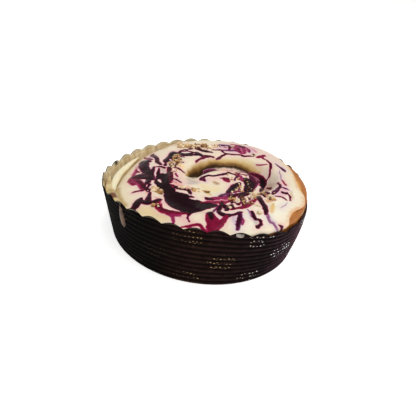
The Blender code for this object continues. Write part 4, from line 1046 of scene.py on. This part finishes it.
wall_reach = case_radius(angle, 0.9) - RIB_DEPTH - PAPER - PAPER_CLEAR
kept = np.minimum(1.0, wall_reach / np.maximum(np.hypot(flat_x, flat_y), 1e-6))
flat_x, flat_y = flat_x * kept, flat_y * kept
thick = ICING * (1 - THIN_EDGE * np.minimum(even, 1) ** EDGE_THINNING)
print("icing reaches", round(float(np.hypot(flat_x, flat_y).max()) / MM, 1), "mm out")

# %% [markdown]
# Every point is shaken a little before it asks about the strokes, so that their edges wander and
# feather as pulled jam does. The strokes are then painted in order. What is kept at each point is how
# rich the jam is, how purple, how deep inside thick jam it lies, and how near to any jam.

# %% Jam on the icing
EDGE = 0.45                    # mm over which a stroke's edge fades
BLEED = 6.0                    # mm within which jam is felt
SHAKES = ((0.45, 3.2 * MM, 3.0), (0.32, 1.2 * MM, 5.0))     # how far in mm, the grain, and a seed
SIDEWAYS = 6.0                 # added to the seeds for y

shaken_x, shaken_y = flat_x / MM, flat_y / MM
for far, grain, seed in SHAKES:
    shaken_x = shaken_x + far * cloud(flat_x, flat_y, grain, seed)
    shaken_y = shaken_y + far * cloud(flat_x, flat_y, grain, seed + SIDEWAYS)
jam = np.zeros(len(flat_x))
plum = np.full(len(flat_x), 0.4)
jam_depth = np.full(len(flat_x), -BLEED / 2)
nearest = np.full(len(flat_x), -BLEED)
for tone, stroke in JAM:
    richness, hue = TONES[tone]
    depth = inside(stroke, shaken_x, shaken_y, BLEED)
    cover = smooth(-EDGE, EDGE, depth)
    plum = np.where(cover > 0, plum * (1 - cover) + hue * cover, plum)
    plum = np.where((jam < 0.05) & (depth > nearest), hue, plum)
    jam += (richness - jam) * cover
    if richness > 0.3:
        nearest = np.maximum(nearest, depth)
    jam_depth = np.maximum(jam_depth, depth) if richness > 0.6 else np.where(cover > 0.5, -1.0, jam_depth)
bleed = smooth(-4.0, 0.0, nearest) * (0.55 + 0.45 * cloud(flat_x, flat_y, 7 * MM, 21.0))
print("jam covers", round(100 * float((jam > 0.4).mean())), "% of the points")

# %% [markdown]
# The tints lie under the jam and are mixed as screen colours, because they were judged that way. Thick
# jam stands up a little from the icing, and the icing itself is never quite smooth.

# %% Tint under the jam
JAM_RISE = 0.28 * MM
UNEVEN = ((0.12 * MM, 5 * MM, 40.0), (0.05 * MM, 1.6 * MM, 44.0))     # height, grain and seed


def laid(tint, code, amount):
    """The tint with some of a hex colour laid over it."""
    amount = np.clip(amount, 0, 1)[:, None]
    return tint * (1 - amount) + screen(code) * amount


def laid_strokes(tint, tints):
    """The tint with soft strokes of colour laid over it."""
    for code, strength, soft, stroke in tints:
        amount = smooth(-soft / 2, soft / 2, inside(stroke, shaken_x, shaken_y, soft))
        tint = laid(tint, code, strength * amount)
    return tint


tint = laid_strokes(np.tile(screen("#E6D8BF"), (len(flat_x), 1)), TINTS_AND_PAINTED_LIGHT)
tint = laid(tint, "#D9A9AE", 0.55 * bleed * (plum < 0.45))
tint = laid(tint, "#C9AEC0", 0.55 * bleed * (plum >= 0.45))
tint = laid_strokes(tint, BARE_DOUGH_AND_PAINTED_SHADOW)
right = bump(angle, 3, 48) + bump(angle, -36, 22)
tint = laid(tint, "#DDB28A", right * smooth(0.94, 1.0, even + 0.03 * cloud(flat_x, flat_y, 3 * MM, 31.0)))
# painted shade: a thin olive line along the icing's left edge, in the gap where it meets the run
tint = laid(tint, "#A8935C", 0.8 * bump(angle, 195, 55) ** 0.5 * smooth(0.992, 1.0, even))

relief = JAM_RISE * smooth(0.0, 1.6, jam_depth)
relief += sum(height * cloud(flat_x, flat_y, grain, seed) for height, grain, seed in UNEVEN)
lift = GAP + thick + relief * (1 - smooth(0.9, 1.0, even))
move_points(icing, flat_x, flat_y, base_z + np.where(layer >= 1, lift, GAP + thick * layer))
note(icing, "jam", jam)
note(icing, "plum", plum)
note(icing, "tint", linear(tint))
print("jam stands", JAM_RISE / MM, "mm proud of the icing")

# %% [markdown]
# Sugar icing with butter in it is satin and lets a little light in. Jam is glossy syrup with seeds
# and skins. The material reads how much jam each point has and runs it through two ramps, one for
# crimson and one for plum, so every stroke has a thin bright rim as the real ones do. The whole
# surface has a low specular level, or the white room would grey the darkest jam.

# %% Icing and jam
sugar, tree, shader = start("satin_butter_icing_with_berry_jam", Specular_IOR_Level=0.09,
                            Subsurface_Weight=0.12, Subsurface_Scale=2 * MM)
shader.inputs["Subsurface Radius"].default_value = (1.0, 0.7, 0.45)
space = add(tree, "TexCoord")["Object"]
soak = add(tree, "Attribute", attribute_name="jam")["Fac"]
violet = add(tree, "Attribute", attribute_name="plum")["Fac"]
under = add(tree, "Attribute", attribute_name="tint")["Color"]
pulp = add(tree, "TexNoise", {"Vector": space, "Scale": 1 / (0.667 * MM), "Detail": 3.0, "Roughness": 0.6})[0]
swirl = add(tree, "TexNoise", {"Vector": space, "Scale": 1 / (2.38 * MM), "Detail": 2.0})[0]
both = add(tree, "Math", {0: pulp, 1: swirl}, operation="ADD")[0]
shake = add(tree, "Math", {0: both, 1: 0.22, 2: -0.22}, operation="MULTIPLY_ADD")[0]
rich = add(tree, "Math", {0: soak, 1: shake}, operation="ADD")[0]
crimson = add(tree, "ValToRGB", {0: rich}, stops=((0.1, "#D79AA0"), (0.3, "#B03060"), (0.5, "#8E0F3E"),
                                                 (0.7, "#640824"), (0.9, "#350511"), (1.0, "#1A0508")))[0]
purple = add(tree, "ValToRGB", {0: rich}, stops=((0.1, "#BFAEBB"), (0.3, "#94688C"), (0.5, "#6E1853"),
                                                (0.7, "#4A0C34"), (0.9, "#28061C"), (1.0, "#200717")))[0]
berry = add(tree, "Mix", {FACTOR: violet, FIRST: crimson, SECOND: purple}, data_type="RGBA")[RESULT]
cover = add(tree, "MapRange", {"Value": soak, "From Min": 0.04, "From Max": 0.3},
            interpolation_type="SMOOTHSTEP")[0]
skin = add(tree, "Mix", {FACTOR: cover, FIRST: under, SECOND: berry}, data_type="RGBA")[RESULT]
tree.links.new(skin, shader.inputs["Base Color"])
gloss = add(tree, "MapRange",
            {"Value": soak, "From Min": 0.2, "From Max": 0.7, "To Min": 0.4, "To Max": 0.2})[0]
tree.links.new(gloss, shader.inputs["Roughness"])
ripple = add(tree, "Bump", {"Height": swirl, "Distance": 0.3 * MM, "Strength": 0.5})[0]
seeds = add(tree, "Bump", {"Height": pulp, "Distance": 0.1 * MM, "Strength": 0.4, "Normal": ripple})[0]
tree.links.new(seeds, shader.inputs["Normal"])
show("icing_and_jam", icing, "icing", sugar, replaced=["icing"])

# %% [markdown]
# ## The run of icing at the left
#
# While it was wet, icing slid over the dough's left shoulder and set as a smooth crescent against
# the paper. A sphere has the closed, pointed form that it needs, so one is stretched along the gap.

# %% Stretching a sphere
def ball(name, columns, rows):
    """A sphere of radius 1 whose poles lie along z, as a mesh."""
    bm = bmesh.new()
    bmesh.ops.create_uvsphere(bm, u_segments=columns, v_segments=rows, radius=1)
    mesh = bpy.data.meshes.new(name)
    bm.to_mesh(mesh)
    bm.free()
    return mesh


def crescent(name, angles, middle, width, level, above, below):
    """A sphere stretched along an arc; also how far along it and how low each point is."""
    mesh = ball(name, 32, 96)
    x, y, z = points_of(mesh)
    t = np.clip(np.arccos(np.clip(z, -1, 1)) / np.pi, 0, 1)
    ring = np.maximum(np.hypot(x, y), 1e-6)
    across, upright = x / ring, y / ring
    angle = np.radians(angles[0] + (angles[1] - angles[0]) * t)
    reach = middle(angle, t) + width / 2 * np.sin(np.pi * t) ** 0.7 * across
    reach += 0.25 * MM * cloud(np.degrees(angle) * MM, reach, 6 * MM, 3.0) * np.sin(np.pi * t)
    height = level + np.where(upright > 0, above, below) * upright * np.sin(np.pi * t) ** 0.5
    move_points(mesh, reach * np.cos(angle), reach * np.sin(angle), height)
    return mesh, t, upright


print("spheres ready")

# %% [markdown]
# The run is the same satin icing as on top, a little yellower where it set thick, with faint streaks
# from its flow. Its underside and its lower end have taken up melted butter and are tan.

# %% Icing run
RUN_WIDTH = 4.2 * MM
RUN_AWAY = 2.7 * MM            # from the dough's top edge
RUN_OUTWARD = 1.0 * MM         # wet icing bulges to the paper
RUN_HEIGHT = 29.5 * MM
RUN_ABOVE = 1.5 * MM
RUN_BELOW = 5.0 * MM
RUN_ANGLES = (150, 212)


def beside_dough(angle, t):
    """The middle of the icing run."""
    away = RUN_AWAY * (0.5 + 0.5 * np.sin(np.pi * t))
    return top_outline(angle) + away + RUN_OUTWARD * smooth(0.25, 0.6, t)


run, t, upright = crescent("side_run", RUN_ANGLES, beside_dough, RUN_WIDTH, RUN_HEIGHT, RUN_ABOVE, RUN_BELOW)
note(run, "lower", np.maximum(smooth(0.8, 0.9, t), smooth(0.3, -0.3, upright)))
set_icing, tree, shader = start("set_icing_run", Roughness=0.32, Subsurface_Weight=0.15,
                                Subsurface_Scale=2 * MM)
space, cream = patchy(tree, shader, 6.25 * MM, 4.0, ((0.3, "#E9E0B8"), (0.7, "#F2EACB")), 0.4 * MM, 0.4)
lower = add(tree, "Attribute", attribute_name="lower")["Fac"]
cream = add(tree, "Mix", {FACTOR: lower, FIRST: cream, SECOND: "#B59A68"}, data_type="RGBA")[RESULT]
tree.links.new(cream, shader.inputs["Base Color"])
show("side_run", run, "icing", set_icing, replaced=["icing_run"])

# %% [markdown]
# Below the run, butter and sugar have melted out and pooled against the paper as a tan, glassy glaze
# with one dark caramel spot. Melted sugar has an index of 1.46 and is smoother than the icing. The
# glaze is thin and has no piece of its own in the model.

# %% Melted glaze
GLAZE_WIDTH = 4.4 * MM
GLAZE_HEIGHT = 29.8 * MM
GLAZE_ABOVE = 1.0 * MM
GLAZE_BELOW = 4.0 * MM
GLAZE_ANGLES = (184, 224)
CARAMEL_SPOT = Vector((-49.6, -28.2, 30.0)) * MM
CARAMEL_RADII = (2.2 * MM, 4.2 * MM)     # dark inside the first, gone beyond the second


def beside_paper(angle, t):
    """The middle of the pooled glaze."""
    return case_radius(angle, 0.85) - RIB_DEPTH - PAPER - GLAZE_WIDTH / 2


glaze = crescent("melted_glaze", GLAZE_ANGLES, beside_paper, GLAZE_WIDTH, GLAZE_HEIGHT,
                 GLAZE_ABOVE, GLAZE_BELOW)[0]
melted, tree, shader = start("melted_butter_sugar_glaze", Roughness=0.22, IOR=1.46, Subsurface_Weight=0.1,
                             Subsurface_Scale=2 * MM)
space, amber = patchy(tree, shader, 5.56 * MM, 4.0, ((0.35, "#B79C68"), (0.65, "#E0CE9E")), 0.4 * MM)
away = add(tree, "VectorMath", {0: space, 1: CARAMEL_SPOT}, operation="DISTANCE")["Value"]
burnt = add(tree, "MapRange", {"Value": away, "From Min": CARAMEL_RADII[0], "From Max": CARAMEL_RADII[1],
                               "To Min": 0.95, "To Max": 0.0})[0]
amber = add(tree, "Mix", {FACTOR: burnt, FIRST: amber, SECOND: "#6A3A20"}, data_type="RGBA")[RESULT]
tree.links.new(amber, shader.inputs["Base Color"])
show("melted_glaze", glaze, "icing", melted)

# %% [markdown]
# ## Chopped nuts
#
# Nuts were chopped over the icing while it was soft. Big bits lie in heaps, and crumbs lie between
# them. There are three kinds: pale flesh, toasted flesh, and bits with the brown skin still on. Each
# kind is one joined mesh, so the model has three pieces and not hundreds.

# %% Nut heaps
# Each heap is (x, y, half width, half depth, how many, size), in mm. The names are the three kinds.
HEAPS = {
    "pale_nut_flesh": (
        (-18, 41, 3, 4, 9, 2.8), (-22, 46, 0.5, 0.5, 1, 3.2), (-9.5, 40, 1.8, 1.8, 4, 3),
        (0, 39, 1.4, 1.2, 3, 3), (4, 42, 1, 1, 2, 2.6), (-8, 41, 12, 4, 20, 1.6),
        (16.5, 43, 0.3, 0.3, 1, 3.2), (30, 31, 1.4, 1, 2, 1.9), (-21, 14, 4, 10, 15, 1.5),
        (-20, 2, 3, 6, 5, 1.2), (-28, -21.5, 0.3, 0.3, 1, 3.4), (-23.5, -23, 0.8, 0.8, 2, 2.4),
        (-27, -23.6, 2.6, 1.6, 5, 1.3), (-24, -40, 2, 2, 3, 0.9), (-3, -23, 0.4, 0.4, 1, 3),
        (-12, -21, 2.2, 1, 5, 1.8), (-4, -22.6, 4, 1.6, 6, 1.3), (13.5, -37, 0.3, 0.3, 1, 2.6),
        (24, -22, 12, 12, 13, 1.5), (36, -24.5, 1.6, 1.6, 6, 1.9), (28, -41, 0.6, 0.6, 2, 2.4),
        (30, -16, 5, 3, 11, 1.7), (20, -6, 7, 8, 7, 1.3), (-27, -22, 6, 4, 7, 0.8),
        (-20, 14, 7, 13, 12, 0.8), (-8, 41, 17, 6, 14, 0.8), (27, -24, 13, 12, 12, 0.8),
        (-8, 40, 13, 4, 16, 1.9)),
    "toasted_nut": (
        (-14, 41, 4, 4, 8, 2.2), (-3, 41, 1.6, 1.4, 3, 3), (-8, 42, 12, 4, 16, 1.5),
        (-21, 14, 4, 10, 14, 1.9), (-25, -24, 0.6, 0.6, 2, 2.8), (-26, -22.6, 3, 2, 6, 1.3),
        (-25.5, -40.5, 0.7, 0.7, 2, 2), (-6, -23, 1, 0.8, 2, 2.8), (1, -22.5, 0.4, 0.4, 1, 3.2),
        (-1, -22, 4, 2, 5, 1.2), (24, -22, 12, 12, 13, 2), (30, -16, 5, 3, 5, 1.4), (20, 0, 8, 9, 9, 1.1),
        (37, -25.6, 1.6, 1.6, 4, 1.6), (-8, 41, 17, 6, 10, 0.8), (26, -20, 13, 12, 8, 0.8)),
    "brown_nut_skin": (
        (-7, 41, 1.4, 1.2, 3, 2.8), (-11, 41, 10, 4, 14, 1.7), (17, 51, 0.4, 0.4, 1, 2.2),
        (30, 31, 1, 0.8, 3, 1.8), (-21, 14, 4, 9, 13, 1.6), (-25, -22, 3, 2, 6, 1.3),
        (-9, -22, 5, 2, 6, 1.2), (24, -22, 12, 12, 14, 1.7), (36.4, -25, 2, 2, 5, 1.6),
        (22, -8, 6, 8, 8, 1.2), (-8, 40, 13, 4, 12, 1.8)),
}
print("nut bits:", {kind: sum(heap[4] for heap in heaps) for kind, heaps in HEAPS.items()})

# %% [markdown]
# A chopped bit is a small block with flat broken faces, so each one is a cube cut by a few random
# planes, its cuts filled and its edges bevelled. It is then drawn out, tilted and turned.

# %% Chopping
NUT_CUTS = 5
CUT_AWAY = (0.3, 0.46)         # from a bit's middle, as shares of its size
NUT_LENGTHS, NUT_WIDTHS, NUT_FLATNESS = (0.9, 1.3), (0.6, 0.9), (0.45, 0.75)
NUT_TILT = 0.35
NUT_BEVEL = 0.05
chance = random.Random(11)


def chopped(size):
    """One bit of nut about as long as size: a block, cut by random planes."""
    bm = bmesh.new()
    bmesh.ops.create_cube(bm, size=1)
    for _ in range(NUT_CUTS):
        facing = Vector([chance.gauss(0, 1) for _ in range(3)]).normalized()
        middle = facing * chance.uniform(*CUT_AWAY)
        whole_bit = bm.verts[:] + bm.edges[:] + bm.faces[:]
        bmesh.ops.bisect_plane(bm, geom=whole_bit, plane_co=middle, plane_no=facing, clear_outer=True)
        bmesh.ops.holes_fill(bm, edges=[edge for edge in bm.edges if edge.is_boundary])
    bmesh.ops.bevel(bm, geom=bm.edges[:], offset=NUT_BEVEL, affect="EDGES", segments=1, profile=0.5,
                    material=-1)
    sides = [size * chance.uniform(*span) for span in (NUT_LENGTHS, NUT_WIDTHS, NUT_FLATNESS)]
    tilts = (chance.gauss(0, NUT_TILT), chance.gauss(0, NUT_TILT), chance.uniform(0, 2 * math.pi))
    drawn = Euler(tilts).to_matrix() @ Matrix.Diagonal(sides)
    bmesh.ops.transform(bm, matrix=drawn.to_4x4(), verts=bm.verts[:])
    bit = bpy.data.meshes.new("bit")
    bm.to_mesh(bit)
    bm.free()
    return bit


print("a bit is cut", NUT_CUTS, "times")

# %% [markdown]
# The bits of a heap are scattered over an oval, and each lies on the measured height of the icing,
# sunk into it by about a third of its own height.

# %% Heaping
NUT_REACH = 52                 # mm from the middle, so that none lands on bare crust
SIZE_RANGE = (0.75, 1.25)
NUT_RISE = 0.1                 # of a bit's middle above the icing, as a share of its size


def heaped(name, heaps):
    """All the bits of one kind, as one mesh lying on the icing."""
    spots = []
    for x, y, wide, deep, count, size in heaps:
        for _ in range(count):
            turn = chance.uniform(0, 2 * math.pi)
            away = math.sqrt(chance.random())
            spots.append((x + wide * away * math.cos(turn), y + deep * away * math.sin(turn),
                          size * chance.uniform(*SIZE_RANGE)))
    flat = np.array([spot for spot in spots if math.hypot(spot[0], spot[1]) < NUT_REACH]) * MM
    ground = dough_height(flat[:, 0], flat[:, 1]) + GAP + ICING
    whole = bmesh.new()
    for (x, y, size), z in zip(flat, ground):
        bit = chopped(size)
        before = len(whole.verts)
        whole.from_mesh(bit)
        bpy.data.meshes.remove(bit)
        whole.verts.ensure_lookup_table()
        bmesh.ops.translate(whole, vec=(x, y, z + NUT_RISE * size), verts=whole.verts[before:])
    bmesh.ops.recalc_face_normals(whole, faces=whole.faces[:])
    mesh = bpy.data.meshes.new(name)
    whole.to_mesh(mesh)
    whole.free()
    return mesh


print("nuts lie within", NUT_REACH, "mm of the middle")

# %% [markdown]
# Broken nut is matt with a touch of oil, and lets a little light in. Each kind has its own two tints,
# patchy at the size of a bit, so that no two bits are quite alike.

# %% Nuts
NUT_TINTS = {
    "pale_nut_flesh": ("#CDA374", "#F8E8C8"),
    "toasted_nut": ("#8E6238", "#D2A468"),
    "brown_nut_skin": ("#3E1E14", "#8A5636"),
}
for kind, heaps in HEAPS.items():
    flesh, tree, shader = start(kind, Roughness=0.5, Specular_IOR_Level=0.3, Subsurface_Weight=0.08,
                                Subsurface_Scale=1 * MM)
    dark, light = NUT_TINTS[kind]
    patchy(tree, shader, 2.86 * MM, 4.0, ((0.35, dark), (0.62, light)), 0.2 * MM)
    show(kind, heaped(kind, heaps), "nuts", flesh)

# %% [markdown]
# ## What ran over
#
# Some caramel and icing ran over the rim while the bun was warm: a long dull drip on the case at the
# front left, and a small blob at the front. Each is a sphere pressed flat against the wall and drawn
# out, tapered at the top as a drip is. They dried in and picked up flour, so they are matt and patchy.

# %% Drips
# Each is (name, angle, share of the height at the middle, half width and half height in mm, taper, colours).
DRIPS = (
    ("dull_drip", 227.0, 0.78, 2.4, 7.2, 0.7, ("#3C2718", "#5E4430")),
    ("icing_blob", 286.6, 0.96, 2.0, 1.1, 0.0, ("#564C47", "#A79E96")),
)
DRIP_RISE = 0.7 * MM           # half its thickness
DRIP_SINK = 0.3 * MM           # how far its middle lies below the ribs' crests
DRIP_TOP = 0.985               # share of the height that it keeps below
for name, turn, middle, half_width, half_height, taper, (dark, light) in DRIPS:
    drop = ball(name, 32, 24)
    x, y, z = points_of(drop)
    wide = (1 - taper * smooth(-0.2, 1.0, z)) * np.sqrt(1 + z * z)
    angle = math.radians(turn) + x * wide * half_width * MM / RIM_RADIUS
    share = np.minimum(middle + z * half_height * MM / CASE_HEIGHT, DRIP_TOP)
    reach = case_radius(angle, share) - DRIP_SINK + DRIP_RISE * y * wide
    move_points(drop, reach * np.cos(angle), reach * np.sin(angle), share * rim_height(angle))
    crusted, tree, shader = start(name, Roughness=0.5, Specular_IOR_Level=0.2)
    patchy(tree, shader, 3.33 * MM, 3.0, ((0.35, dark), (0.65, light)))
    show(name, drop, "icing", crusted)
